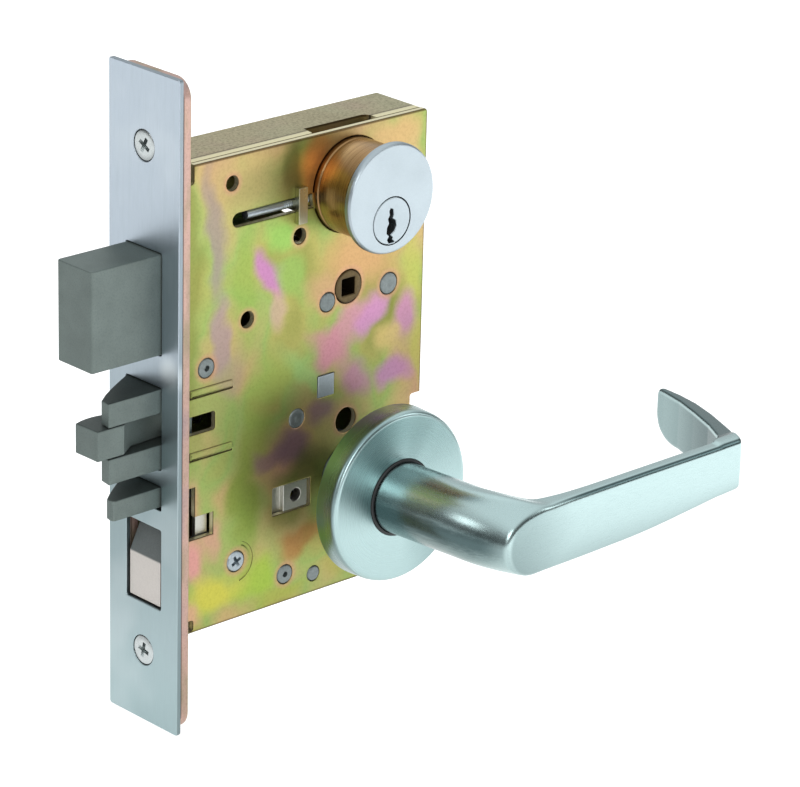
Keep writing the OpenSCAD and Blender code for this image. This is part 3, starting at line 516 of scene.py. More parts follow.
def extrude(name, outlines, span, axis, bevel, rounds=3):
    """A plate between span[0] and span[1] along an axis, with holes and rounded edges.
    Outlines are in (y, z) for axis x, (x, z) for axis y and (x, y) for axis z; the first is the outside."""
    curve = bpy.data.curves.new(name, "CURVE")
    curve.dimensions = "2D"
    curve.fill_mode = "BOTH"
    for outline in outlines:
        spline = curve.splines.new("POLY")
        spline.points.add(len(outline) - 1)
        for point, (a, b) in zip(spline.points, outline):
            point.co = (a * MM, b * MM, 0, 1)
        spline.use_cyclic_u = True
    curve.extrude = ((span[1] - span[0]) / 2 - bevel) * MM
    curve.bevel_depth = bevel * MM
    curve.bevel_resolution = rounds
    curve.offset = -bevel * MM
    holder = linked(name, curve)
    bpy.context.view_layer.update()
    mesh = bpy.data.meshes.new_from_object(holder.evaluated_get(bpy.context.evaluated_depsgraph_get()))
    bpy.data.objects.remove(holder)
    middle = (span[0] + span[1]) / 2 * MM
    shift = {"x": (middle, 0, 0), "y": (0, middle, 0), "z": (0, 0, middle)}[axis]
    mesh.transform(Matrix.Translation(shift) @ AXES[axis].to_4x4())
    return weld(mesh)


def weld(mesh):
    """Joins vertices that lie together, and turns all faces outward."""
    bm = bmesh.new()
    bm.from_mesh(mesh)
    bmesh.ops.remove_doubles(bm, verts=bm.verts, dist=0.0008 * MM)
    bmesh.ops.recalc_face_normals(bm, faces=bm.faces)
    bm.to_mesh(mesh)
    bm.free()
    return mesh


def joined(name, meshes):
    bm = bmesh.new()
    for mesh in meshes:
        bm.from_mesh(mesh)
    out = bpy.data.meshes.new(name)
    bm.to_mesh(out)
    bm.free()
    return out


def tube_faces(rows, steps):
    """The quads between rings of vertices that lie row after row."""
    faces = []
    for j in range(rows - 1):
        for i in range(steps):
            k = (i + 1) % steps
            faces.append((j * steps + i, j * steps + k, (j + 1) * steps + k, (j + 1) * steps + i))
    return faces


def lathe(name, profile, centre, axis, steps):
    """A turned piece. The profile is (radius, place along the axis); the centre is (x, z) for axis y, (y, z) for x."""
    verts = []
    for r, h in profile:
        for i in range(steps):
            a = 2 * math.pi * i / steps
            u, v = centre[0] + r * math.cos(a), centre[1] + r * math.sin(a)
            verts.append((u, h, v) if axis == "y" else (h, u, v))
    faces = tube_faces(len(profile), steps)
    if profile[0] != profile[-1]:
        for j in (0, len(profile) - 1):
            if profile[j][0] > 0.01:
                faces.append(tuple(j * steps + i for i in range(steps)))
    return weld(mesh_of(name, verts, faces))


def arc(cx, cy, r, a0, a1, steps):
    """Points from angle a0 to a1, in degrees."""
    return [(cx + r * math.cos(math.radians(a0 + (a1 - a0) * i / steps)),
             cy + r * math.sin(math.radians(a0 + (a1 - a0) * i / steps))) for i in range(steps + 1)]


def circle(cx, cy, r, steps=48):
    return arc(cx, cy, r, 0, 360 - 360 / steps, steps - 1)


def rect(x0, x1, y0, y1, r=0.3, steps=3):
    """A rectangle with rounded corners; r is one radius, or four from the lower left anticlockwise."""
    r = [r] * 4 if not hasattr(r, "__len__") else r
    return (arc(x0 + r[0], y0 + r[0], r[0], 180, 270, steps) + arc(x1 - r[1], y0 + r[1], r[1], 270, 360, steps)
            + arc(x1 - r[2], y1 - r[2], r[2], 0, 90, steps) + arc(x0 + r[3], y1 - r[3], r[3], 90, 180, steps))


def cut(mesh, *tools):
    """The mesh less each tool mesh."""
    obj = linked("cut", mesh)
    others = []
    for tool in tools:
        other = linked("tool", tool)
        others.append(other)
        less = obj.modifiers.new("less", "BOOLEAN")
        less.operation = "DIFFERENCE"
        less.solver = "EXACT"
        less.object = other
    bpy.context.view_layer.update()
    out = bpy.data.meshes.new_from_object(obj.evaluated_get(bpy.context.evaluated_depsgraph_get()))
    for o in [obj, *others]:
        bpy.data.objects.remove(o)
    return out


def from_cad(node, slot, bevel, paint=None):
    """A finer copy of a CAD node's mesh, with its edges rounded."""
    bm = bmesh.new()
    bm.from_mesh(frame["nodes"][node].data)
    bmesh.ops.remove_doubles(bm, verts=bm.verts, dist=0.002 * MM)
    bmesh.ops.dissolve_limit(bm, angle_limit=math.radians(1), verts=bm.verts, edges=bm.edges)
    mesh = bpy.data.meshes.new(node + "_fine")
    bm.to_mesh(mesh)
    bm.free()
    body = frame["nodes"][node]["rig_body"]
    obj = place(node + "_fine", mesh, body, slot, [node], paint, weighted=False)
    edge = obj.modifiers.new("edge", "BEVEL")
    edge.width = bevel * MM
    edge.segments = 3
    edge.limit_method = "ANGLE"
    edge.angle_limit = math.radians(SHARP)
    edge.harden_normals = False
    keep = obj.modifiers.new("weighted", "WEIGHTED_NORMAL")
    keep.keep_sharp = True
    return obj


def phillips(centre, face, depth, axis, turn, size):
    """Tool meshes of a cross recess: two tapered bars, from just above the face to the depth below it."""
    above, wide, narrow = 0.5, 1.1, 0.42
    tools = []
    for quarter in (0, 90):
        a = math.radians(turn + quarter)
        c, s = math.cos(a), math.sin(a)
        verts = []
        for h, grow in ((face - above, wide), (face + depth, narrow)):
            for u, v in ((-1, -1), (1, -1), (1, 1), (-1, 1)):
                along, across = u * size * grow, v * size * 0.24 * (0.75 + 0.35 * grow)
                p, q = centre[0] + along * c - across * s, centre[1] + along * s + across * c
                verts.append((p, h, q) if axis == "y" else (h, p, q))
        faces = [(0, 1, 2, 3), (7, 6, 5, 4), (0, 4, 5, 1), (1, 5, 6, 2), (2, 6, 7, 3), (3, 7, 4, 0)]
        tools.append(weld(mesh_of("recess", verts, faces)))
    return tools


# ---- Front ----

DEADBOLT_Z = (53.4, 84.1)
LATCH_Z = (17.7, 42.9)
AUX_Z = (5.0, 12.1)
BOLT_HALF = 7.9
FRONT_SCREW_Z = (114.9, -42.7)
DOOR_SCREW_Z = (-55.9, 128.1)
ARMOR_BACK, FRONT_BACK = 1.6, 4.8


def front_windows(gap, room):
    """The openings for the bolts, larger than them by the gap, and the rocker's, higher by the room."""
    w = BOLT_HALF + gap
    bolts = [rect(-w, w, z[0] - gap, z[1] + gap, r) for z, r in ((DEADBOLT_Z, 0.6), (LATCH_Z, 0.6), (AUX_Z, 0.5))]
    return bolts + [rect(-w, BOLT_HALF, -27.2 - room, -1.5 + room, 0.6)]


armor = extrude(
    "armor", [rect(-15.875, 15.875, -65.5, 137.7, 0.9)] + front_windows(0.3, 0)
    + [circle(0, z, 4.72) for z in FRONT_SCREW_Z], (0, ARMOR_BACK), "x", 0.3)
place("armor_front_plate", armor, "lock_case", "armor", ["armor_front"])
inner = extrude(
    "inner", [rect(-15.45, 15.45, -64.9, 137.1, 6, 8)] + front_windows(0.4, 1.9)
    + [circle(0, z, 2.3) for z in FRONT_SCREW_Z] + [circle(0, z, 3.0) for z in DOOR_SCREW_Z],
    (ARMOR_BACK, FRONT_BACK), "x", 0.35)
place("inner_front_plate", inner, "lock_case", "zinc_pink", ["inner_front"])

screws = []
for z, turn in zip(FRONT_SCREW_Z, (28, 12)):
    head = lathe("head", [
        (0.0, 0.12), (2.6, 0.12), (4.2, 0.14), (4.48, 0.3), (2.75, 1.62), (2.0, 1.9), (2.0, 11), (0.0, 11.4)],
        (0, z), "x", 48)
    screws.append(cut(head, *phillips((0, z), 0.12, 2.3, "x", turn, 2.5)))
place("armor_screw_heads", joined("screws", screws), "lock_case", "screw_steel", ["armor_screws"], weighted=False)


# ---- Case ----

WALL = 2.5
wall_outline = (
    [(CASE_X[0], CASE_Z[0])] + arc(CASE_X[1] - 1.6, CASE_Z[0] + 1.6, 1.6, 270, 360, 5)
    + arc(CASE_X[1] - 1.6, CASE_Z[1] - 1.6, 1.6, 0, 90, 5) + [(CASE_X[0], CASE_Z[1])]
    + [(CASE_X[0], CASE_Z[1] - WALL)] + arc(CASE_X[1] - WALL - 0.8, CASE_Z[1] - WALL - 0.8, 0.8, 90, 0, 3)
    + arc(CASE_X[1] - WALL - 0.8, CASE_Z[0] + WALL + 0.8, 0.8, 0, -90, 3) + [(CASE_X[0], CASE_Z[0] + WALL)]
)
wall = extrude("wall", [wall_outline], (COVER_IN, 9.85), "y", 0.7)


def block(x, y, z):
    return extrude("block", [rect(*x, *z, 0.4)], y, "y", 0.05, 1)


def slot_in_top(x, y):
    """The notch in the top wall: square at its front end and rounded at its back end."""
    shape = [(x[0], y[0] - 3), (x[1], y[0] - 3)] + arc(x[1] - 2.6, y[1] - 2.6, 2.6, 0, 90, 6) + [(x[0] + 1.2, y[1])]
    return extrude("slot", [shape], (CASE_Z[1] - 4, CASE_Z[1] + 2), "z", 0.05, 1)


wall = cut(
    wall, slot_in_top((56, 82), (COVER_IN, -4)), block((97, 102), (-12, -6), (13.2, 19.1)),
    block((3, 10.2), (-12, -5), (CASE_Z[0] - 2, CASE_Z[0] + 3.2)),
    block((3, 9.6), (-12, -5), (CASE_Z[1] - 3.2, CASE_Z[1] + 2)))
floor_holes = [
    circle(BACKSET, 0, 9.07, 64), circle(BACKSET, THUMB_Z, 5.27), *(circle(BACKSET, z, 4) for z in THROUGH_Z),
    circle(BACKSET, CYLINDER_Z, 14.6, 96), rect(*WINDOW)]
floor_holes += [circle(x, z, 1.9, 24) for x, z, *_ in POSTS]
pan_floor = extrude(
    "floor", [rect(*CASE_X, *CASE_Z, (0.1, 1.6, 1.6, 0.1), 5)] + floor_holes,
    (FLOOR_IN, FLOOR_OUT), "y", 1.15, 5)
place("case_pan", joined("pan", [wall, pan_floor]), "lock_case", "zinc_yellow", ["case", "case_wall"])

edge_x = CASE_X[1]
cover_outline = (
    [(5.1, CASE_Z[0])] + arc(edge_x - 1.2, CASE_Z[0] + 1.2, 1.2, 270, 360, 4)
    + [(edge_x, 13.2)] + arc(97.3, 14.0, 0.8, 270, 180, 3) + arc(97.3, 18.3, 0.8, 180, 90, 3) + [(edge_x, 19.1)]
    + arc(edge_x - 1.2, CASE_Z[1] - 1.2, 1.2, 0, 90, 4)
    + [(9.6, CASE_Z[1])] + arc(8.9, 104.9, 0.7, 0, -90, 3) + [(5.1, 104.2)]
    + [(5.1, 32.8)] + arc(17.3, 32.0, 0.8, 90, 0, 3) + arc(17.3, 27.9, 0.8, 0, -90, 3) + [(5.1, 27.1)]
    + [(5.1, 10.4), (10.6, 10.4), (10.6, 0.9), (17.7, 0.9), (17.7, -6.2), (5.1, -6.2)]
    + [(5.1, -32.2)] + arc(9.5, -32.9, 0.7, 90, 0, 3) + arc(9.5, -34.8, 0.7, 0, -90, 3) + [(5.1, -35.5)]
)
cover_holes = [
    circle(BACKSET, 0, 9.1, 64), circle(BACKSET, THUMB_Z, 5.3, 48), *(circle(BACKSET, z, 4.0) for z in THROUGH_Z),
    circle(BACKSET, CYLINDER_Z, 14.75, 96),
    circle(24, 101.5, 2.25, 32), circle(50.2, 80, 2.4, 32), circle(30.2, 58.4, 2.5, 32),
    [(56, 87.8), (56, 92)] + arc(26.3, 89.9, 2.1, 90, 270, 8),
    rect(8, 24.8, 38.4, 38.95, 0.1), rect(8, 24.8, 18.8, 19.35, 0.1),
    rect(*WINDOW, 0.4), rect(40.9, 56, -6.9, 2.1, 0.5), circle(*COVER_SCREW, 3.3, 32),
]
cover_holes += [circle(x, z, r + 0.06, 32) for x, z, r, _ in POSTS]
cover_plate = extrude("cover", [cover_outline] + cover_holes, (COVER_OUT, COVER_IN), "y", 0.4)
ribs = [
    extrude("rib", [rect(8.2, 24.8, z, z + 2.3, (0.2, 0.9, 0.9, 0.2))],
            (COVER_OUT - 0.55, COVER_OUT + 0.6), "y", 0.5, 4) for z in (38.98, 19.38)]
groove = extrude("groove", [arc(26.6, -17.8, 6.7, -78, 68, 20) + arc(26.6, -17.8, 5.3, 68, -78, 20)],
                 (COVER_OUT - 1, COVER_OUT + 0.3), "y", 0.45, 4)
cover_plate = cut(cover_plate, groove)
place("cover_plate", joined("cover", [cover_plate, *ribs]), "lock_case", "zinc_yellow", ["cover"])

posts = []
for x, z, r, dimple in POSTS:
    posts.append(lathe("post", [
        (0.0, COVER_OUT - 0.2 + dimple), (0.7, COVER_OUT - 0.2 + dimple * 0.8), (0.95, COVER_OUT - 0.2),
        (r - 0.7, COVER_OUT - 0.18), (r - 0.25, COVER_OUT - 0.05), (r, COVER_OUT + 0.3), (r, FLOOR_IN),
        (1.88, FLOOR_IN), (1.88, FLOOR_OUT), (1.4, FLOOR_OUT + 0.2), (0.0, FLOOR_OUT + 0.2)], (x, z), "y", 40))
place("post_ends", joined("posts", posts), "lock_case", "zinc_clear", ["case_posts"], paint="post_zinc", weighted=False)

head = lathe("head", [
    (0.0, -11.4), (2.2, -11.4), (2.9, -11.25), (3.25, -10.8), (3.25, -8.7), (2.2, -8.7), (2.2, 8.5), (0, 8.6)],
    COVER_SCREW, "y", 40)
place("cover_screw_fine", cut(head, *phillips(COVER_SCREW, -11.4, 1.8, "y", 28, 2.0)), "lock_case", "zinc_clear",
      ["cover_screw"], weighted=False)


def threaded(name, r, depth, pitch, start, end, centre, smooth_to, steps=28):
    """A rod along X with a helical thread from smooth_to to end; centre is (y, z)."""
    rows = int((end - start) / (pitch / 6)) + 1
    verts = []
    for j in range(rows):
        h = start + (end - start) * j / (rows - 1)
        for i in range(steps):
            a = 2 * math.pi * i / steps
            phase = (h / pitch - i / steps) % 1
            ridge = depth * (0.8 if h < smooth_to else 1 - abs(2 * phase - 1))
            rr = r - depth + ridge if 0 < j < rows - 1 else (r - depth) * 0.75
            verts.append((h, centre[0] + rr * math.cos(a), centre[1] + rr * math.sin(a)))
    faces = tube_faces(rows, steps) + [tuple(range(steps)), tuple((rows - 1) * steps + i for i in range(steps))]
    return weld(mesh_of(name, verts, faces))


clamp = threaded("clamp", 1.45, 0.16, 0.7, 31, 55.1, (-8.3, 89.9), 45)
place("clamp_screw_thread", clamp, "lock_case", "zinc_clear", ["clamp_screw"], weighted=False, angle=50)
from_cad("clamp_bar", "screw_steel", 0.4, paint="bar_zinc")
from_cad("square_nut", "zinc_clear", 0.2, paint="bright_zinc")
from_cad("stem_guide", "zinc_clear", 0.2)


# ---- Mortise cylinder ----

HEAD_OUT, HEAD_BACK = -29.4, -26.9
bore = lathe("bore", [(0, -35), (7.52, -35), (7.52, -20), (0, -20)], (BACKSET, PLUG_Z), "y", 96)
solid_face = lathe("face", [
    (0, HEAD_OUT), (15.9, HEAD_OUT), (16.35, HEAD_OUT + 0.12), (16.75, HEAD_OUT + 0.55), (16.9, HEAD_OUT + 1.0),
    (16.9, HEAD_BACK - 0.4), (16.5, HEAD_BACK), (0, HEAD_BACK)], (BACKSET, CYLINDER_Z), "y", 160)
place("cylinder_face", cut(solid_face, bore), "lock_case", "satin_chrome", ["cylinder_body"])
shell = lathe("shell", [
    (0.5, HEAD_BACK), (14.3, HEAD_BACK), (14.3, -24.8), (14.6, -24.6), (14.6, -13.4), (14.3, -13.0), (14.6, -12.6),
    (14.6, -7.6), (14.2, -7.2), (0.5, -7.2)], (BACKSET, CYLINDER_Z), "y", 128)
place("cylinder_shell", cut(shell, bore), "lock_case", "brass")
keyway = [
    (-0.9, -5.9), (0.9, -5.9), (0.9, -5.6), (0.2, -5.1), (0.4, -4.4), (-0.5, -3.6), (0.9, -2.7), (1.6, -1.3),
    (1.3, 0.2), (0.2, 0.9), (0.6, 2.0), (0.4, 3.4), (-0.5, 3.9), (-0.9, 3.2), (-0.7, 2.0), (-1.3, 1.0),
    (-0.9, -0.3), (-1.6, -1.4), (-1.7, -3.0), (-0.8, -3.9), (-1.5, -4.8)]
keyway = [(BACKSET + 0.1 + 1.15 * x, PLUG_Z - 0.3 + 1.1 * z) for x, z in keyway]
plug_face = extrude("plug", [circle(BACKSET, PLUG_Z, 7.2, 96), keyway], (-29.42, -9.4), "y", 0.3)
back = extrude("back", [circle(BACKSET, PLUG_Z, 7.3, 64)], (-9.6, -7.0), "y", 0.2)
place("plug_fine", joined("plug", [plug_face, back]), "plug", "satin_chrome", ["plug"])


# ---- Rose and bushing ----

rose = lathe("rose", [
    (25.4, -28.5), (26.9, -28.5), (27.0, -28.7), (26.8, -34.2), (26.6, -35.3), (26.25, -35.9), (25.7, -36.25),
    (25.1, -36.3), (12.2, -36.3), (12.1, -36.2), (12.1, -34.9), (24.4, -34.9), (25.4, -33.6), (25.4, -28.5)],
    (BACKSET, 0), "y", 180)
place("rose_cap", rose, "lock_case", "trim_chrome", ["rose"], paint="trim_rose")
bushing = lathe("bushing", [
    (11.16, -30.5), (11.16, -36.7), (11.3, -36.85), (11.8, -36.8), (12.05, -36.5), (12.05, -34.75), (14.0, -34.6),
    (14.0, -33.6), (12.4, -33.5), (12.4, -30.5), (11.16, -30.5)], (BACKSET, 0), "y", 96)
place("rose_ring", bushing, "lock_case", "black_nylon", ["rose_bushing"], weighted=False)


# ---- Lever, as one smooth field whose zero is its surface ----

def soft_min(a, b, k):
    h = np.clip(0.5 + 0.5 * (b - a) / k, 0, 1)
    return b * (1 - h) + a * h - k * h * (1 - h)


def soft_max(a, b, k):
    return -soft_min(-a, -b, k)


def smooth(v, a, b):
    t = np.clip((v - a) / (b - a), 0, 1)
    return t * t * (3 - 2 * t)


def rounded_path(points, steps=5):
    """A closed smooth curve through the points."""
    out = []
    for i in range(len(points)):
        a, b, c, d = (np.array(points[(i + j) % len(points)], float) for j in (-1, 0, 1, 2))
        for t in np.arange(steps) / steps:
            out.append(0.5 * (2 * b + (c - a) * t + (2 * a - 5 * b + 4 * c - d) * t * t
                              + (3 * b - a - 3 * c + d) * t ** 3))
    return out


# The outline of the lever's flat face, in (x, z)
FACE = rounded_path([
    (67.5, -2.0), (68.1, 1.2), (69.8, 3.9), (72.4, 5.9), (76.0, 7.3), (81.4, 8.2), (88, 8.6), (98, 8.8), (125, 8.95),
    (150, 8.95), (175, 8.95), (190, 8.9), (190, -6.4), (175, -7.0), (160, -7.9), (148, -9.1), (127, -11.0),
    (107, -11.7), (88, -12.0), (79, -12.0), (74.2, -11.3), (70.6, -9.0), (68.3, -5.6)])


def outline_distance(points, x, z):
    """How far (x, z) lies outside the outline, less than 0 within."""
    near, within = np.full(x.shape, 1e9), np.zeros(x.shape, bool)
    for (ax, az), (bx, bz) in zip(points, points[1:] + points[:1]):
        ex, ez = bx - ax, bz - az
        t = np.clip(((x - ax) * ex + (z - az) * ez) / (ex * ex + ez * ez), 0, 1)
        near = np.minimum(near, (x - ax - t * ex) ** 2 + (z - az - t * ez) ** 2)
        if abs(ez) > 1e-9:
            within ^= ((az > z) != (bz > z)) & (x < ex * (z - az) / ez + ax)
    return np.where(within, -1, 1) * np.sqrt(near)


SHANK_R = 11.05
FACE_Y = -84.95
LEVER_TOP = 8.85
RETURN_END = -36.0


def lever_field(x, y, z):
    """Less than 0 inside the lever: a round shank, a flat paddle and the return's blade, blended into each other."""
    # the shank leans a little toward the paddle
    axis_x = BACKSET + 4.0 * np.clip((-37 - y) / 48, 0, None)
    shank = np.hypot(x - axis_x, z) - SHANK_R
    if x.ndim == 3:
        face = np.broadcast_to(outline_distance(FACE, x[:, 0, :], z[:, 0, :])[:, None, :], x.shape)
    else:
        face = outline_distance(FACE, x, z)
    back = y - (-79.5 + 4.9 * np.exp(-(x - 81.7) / 7.5))
    paddle = soft_max(soft_max(face, back, 1.6), 76 - x, 4)
    neck = soft_min(shank, paddle, 5)
    # the return's outer and inner side, as x at each y
    outer = (x - np.interp(y, [-86, -76.4, -70.8, -62.9, -53.6, -45.3, -37],
                           [166.2, 171.2, 173.6, 176.9, 179.9, 181.4, 181.9])) * 0.94
    within = (np.interp(y, [-80.5, -79, -76.5, -68.5, -58.1, -48.6, -39.9, -36],
                        [159.6, 162.0, 164.9, 169.4, 173.8, 177.3, 179.4, 180.0]) - x) * 0.9
    blade = soft_max(outer, within, 1.2)
    # its lower edge, its rounded tip and its top
    low = np.interp(y, [-82, -60, -46, -36], [-7.4, -8.2, -8.2, -7.6]) - z
    blade = soft_max(blade, soft_max(low, y - RETURN_END, 9.0), 1.6)
    blade = soft_max(blade, soft_max(z - LEVER_TOP, y + 35.6, 3.5), 1.0)
    whole = soft_min(soft_max(neck, outer, 1.5), blade, 2.2)
    # the bevel round the face, then the face, which rises a little at its edge
    whole = soft_max(whole, 0.9 * (face + 0.3) + 0.436 * (FACE_Y - y), 1.0 + 3.5 * (1 - smooth(x, 68, 80)))
    whole = soft_max(whole, FACE_Y - y + 0.6 * np.exp(np.clip(face, -20, 2) / 2.6), 1.1)
    # the shank's inner end, and the screw's hole under it
    whole = soft_max(whole, y + 25.4, 0.4)
    hole = np.maximum(np.hypot(x - BACKSET, y + 42) - 2.0, z + 5)
    return soft_max(whole, -hole, 0.4)


def field_mesh(name, field, low, high, step):
    """The surface where the field is zero, as quads, with each vertex moved onto it and given its true normal."""
    axes = [np.arange(a, b + step, step) for a, b in zip(low, high)]
    grid = np.meshgrid(*axes, indexing="ij")
    f = field(*grid)
    cells = tuple(n - 1 for n in f.shape)
    total, count = np.zeros(cells + (3,)), np.zeros(cells)
    corner = lambda i, j, k: f[i:cells[0] + i, j:cells[1] + j, k:cells[2] + k]
    ends = [(0, 0, 0), (0, 0, 1), (0, 1, 0), (0, 1, 1), (1, 0, 0), (1, 0, 1), (1, 1, 0), (1, 1, 1)]
    for a in ends:
        for b in ends:
            if sum(b) - sum(a) != 1 or any(q < p for p, q in zip(a, b)):
                continue
            fa, fb = corner(*a), corner(*b)
            crosses = (fa < 0) != (fb < 0)
            t = np.where(crosses, fa / np.where(crosses, fa - fb, 1), 0)
            for n in range(3):
                total[..., n] += np.where(crosses, a[n] + t * (b[n] - a[n]), 0)
            count += crosses
    live = count > 0
    number = -np.ones(cells, int)
    number[live] = np.arange(live.sum())
    where = np.argwhere(live)
    points = (where + total[live] / count[live][:, None]) * step + np.array(low)
    faces = []
    inside = f < 0
    for n in range(3):
        first = [slice(None)] * 3
        second = [slice(None)] * 3
        first[n], second[n] = slice(0, -1), slice(1, None)
        a, b = inside[tuple(first)], inside[tuple(second)]
        m, o = (n + 1) % 3, (n + 2) % 3
        for flip, edges in ((False, np.argwhere(a & ~b)), (True, np.argwhere(~a & b))):
            keep = (edges[:, m] > 0) & (edges[:, o] > 0) & (edges[:, m] < cells[m]) & (edges[:, o] < cells[o])
            edges = edges[keep]
            ring = []
            for dm, do in ((-1, -1), (0, -1), (0, 0), (-1, 0)):
                cell = edges.copy()
                cell[:, m] += dm
                cell[:, o] += do
                ring.append(number[cell[:, 0], cell[:, 1], cell[:, 2]])
            quads = np.stack(ring, 1)
            faces.append(quads[:, ::-1] if flip else quads)
    faces = np.concatenate(faces)

    def slope(p):
        e = 0.02
        g = [field(*(p + d).T) - field(*(p - d).T) for d in np.eye(3) * e]
        return np.stack(g, 1) / (2 * e)

    for _ in range(5):
        g = slope(points)
        points -= np.clip(field(*points.T), -0.5, 0.5)[:, None] * g / np.maximum((g * g).sum(1), 0.05)[:, None]
    normals = slope(points)
    normals /= np.linalg.norm(normals, axis=1)[:, None]
    mesh = mesh_of(name, points, [tuple(q) for q in faces])
    mesh.polygons.foreach_set("use_smooth", [True] * len(mesh.polygons))
    mesh.normals_split_custom_set_from_vertices(normals)
    return mesh


lever = field_mesh("lever", lever_field, (55, -87, -14), (186, -24, 13), 0.62)
place("lever_body", lever, "outside_lever", "trim_chrome", ["lever"], paint="trim_lever", angle=None, weighted=False)


# ---- Bolts ----

deadbolt = extrude("deadbolt", [rect(-25.4, 12.6, -BOLT_HALF, BOLT_HALF, (0.9, 0.2, 0.2, 0.9))], DEADBOLT_Z, "z", 0.35)
place("deadbolt_block", deadbolt, "deadbolt", "steel_dark", ["deadbolt"])

prong = [(12, 7.9), (12, -7.9), (-19.2, -7.9), (-19.3, -7.7), (-18.7, -3.9)]
prong += [(-18.7 + t * 18.7, -3.9 + 11.8 * t ** 0.86) for t in (0.2, 0.4, 0.6, 0.8, 1.0)]
prong = prong[::-1]
heel = rect(9, 12, -7.9, 7.9)
latch = [extrude("prong", [prong], span, "z", 0.4) for span in ((LATCH_Z[0], 25.6), (35.4, LATCH_Z[1]))]
latch.append(extrude("heel", [heel], (17.9, 42.7), "z", 0.3))
place("latch_prongs", joined("latch", latch), "latchbolt", "steel_dark", ["latchbolt"])
tongue = [(6, -3), (-8, -4.2), (-13.5, -7.8), (-23.1, -7.8), (-23.3, -7.5), (-23.3, -4.9)]
tongue += arc(-17.5, -12.5, 15.8, 112, 46, 8) + [(6, 3)]
tongue = extrude("tongue", [tongue[::-1]], (25.8, 35.2), "z", 0.5, 4)
place("tongue_fine", tongue, "latch_tongue", "steel_dark", ["latch_tongue"])
aux = [(12, 7.6), (12, -7.6), (-16.4, -7.6), (-17.2, -7.2), (-17.6, -6.2), (-17.2, -4.4)]
aux += [(-17.2 + t * 16.2, -4.4 + 12.0 * t ** 0.9) for t in (0.2, 0.4, 0.6, 0.8, 1.0)]
place("aux_fine", extrude("aux", [aux[::-1]], (5.7, AUX_Z[1]), "z", 0.4), "aux_latch", "steel_dark", ["aux_latch"])
from_cad("rocker", "rocker_grey", 0.45)
# the slide's end is drawn back from the square nut
SLIDE_END = 39.7
slide = from_cad("stop_slide", "zinc_clear", 0.15, paint="bright_zinc")
for v in slide.data.vertices:
    if v.co.x > (SLIDE_END + 0.2) * MM:
        v.co.x = SLIDE_END * MM

socket = rect(BACKSET - 2.6, BACKSET + 2.6, THUMB_Z - 2.6, THUMB_Z + 2.6, 0.3)
barrel = extrude("barrel", [circle(BACKSET, THUMB_Z, 5.15, 64), socket], (-11.25, 11.1), "y", 0.5, 4)
s, c = math.sin(math.radians(45)), math.cos(math.radians(45))
reach, half = 18.0, 3.0
arm = [(BACKSET + h * c - 4 * s, THUMB_Z + h * s + 4 * c) for h in (-half, half)]
arm += arc(BACKSET - reach * s, THUMB_Z + reach * c, half, 45, 225, 10)
arm = extrude("arm", [arm], (-0.3, 2.6), "y", 0.3)
pin = lathe("pin", [(0, -3.4), (1.5, -3.4), (1.8, -3.1), (1.8, 2.6), (0, 2.6)],
            (BACKSET - reach * s, THUMB_Z + reach * c), "y", 32)
place("thumb_hub_fine", joined("thumb", [barrel, arm, pin]), "thumb_hub", "steel_dark", ["thumb_hub"],
      paint="hub_brown")
for name, bevel in (
        ("outer_hub", 0.35), ("inner_hub", 0.35), ("latch_stem", 0.25), ("stem_crossbar", 0.3), ("deadbolt_tail", 0.25),
        ("deadlock_lever", 0.2), ("aux_stem", 0.25)):
    from_cad(name, "steel_dark", bevel)
from_cad("spindle", "zinc_clear", 0.4)
from_cad("rose_plate", "zinc_clear", 0.25)
from_cad("cam", "zinc_clear", 0.25)
from_cad("rocker_bracket", "zinc_yellow", 0.2)
from_cad("retaining_ring", "spring_steel", 0.15)


def coil_spring(node, turns, r, wire):
    """A compression spring along X, built as a fixed coil over its CAD node's length."""
    low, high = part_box(node)
    x0, x1 = low.x / MM, high.x / MM
    mid_y, mid_z = (low.y + high.y) / 2 / MM, (low.z + high.z) / 2 / MM
    steps, sides = 24, 10
    rings = turns * steps
    verts = []
    for i in range(rings + 1):
        a = 2 * math.pi * i / steps
        # the coils lie close together in the first and last turn
        t = i / rings
        along = x0 + wire + (x1 - x0 - 2 * wire) * (t - math.sin(4 * math.pi * t) / (4 * math.pi) * 0.55)
        for j in range(sides):
            b = 2 * math.pi * j / sides
            q = r + wire * math.cos(b)
            verts.append((along + wire * math.sin(b), mid_y + q * math.sin(a), mid_z - q * math.cos(a)))
    faces = tube_faces(rings + 1, sides) + [tuple(range(sides))[::-1], tuple(rings * sides + j for j in range(sides))]
    mesh = weld(mesh_of(node + "_wire", verts, faces))
    spring = place(node + "_wire", mesh, "lock_case", "spring_steel", [node], weighted=False, angle=60)
    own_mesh(spring)


coil_spring("latch_spring", 11, 4.4, 0.5)
coil_spring("aux_spring", 8, 2.9, 0.4)

# CAD nodes that keep their own mesh take their slot's paint
slots = {s["node"]: s["material_slot"] for s in frame["record"]["subparts"]}
for name, obj in frame["nodes"].items():
    obj.data.materials.clear()
    obj.data.materials.append(PAINT[slots[name]])


# ---- Stage, light and camera ----

world = bpy.data.worlds.new("world")
bpy.context.scene.world = world
world.use_nodes = True
tree = world.node_tree
tree.nodes.clear()
new, link = tree.nodes.new, tree.links.new
coord = new("ShaderNodeTexCoord")
total = None
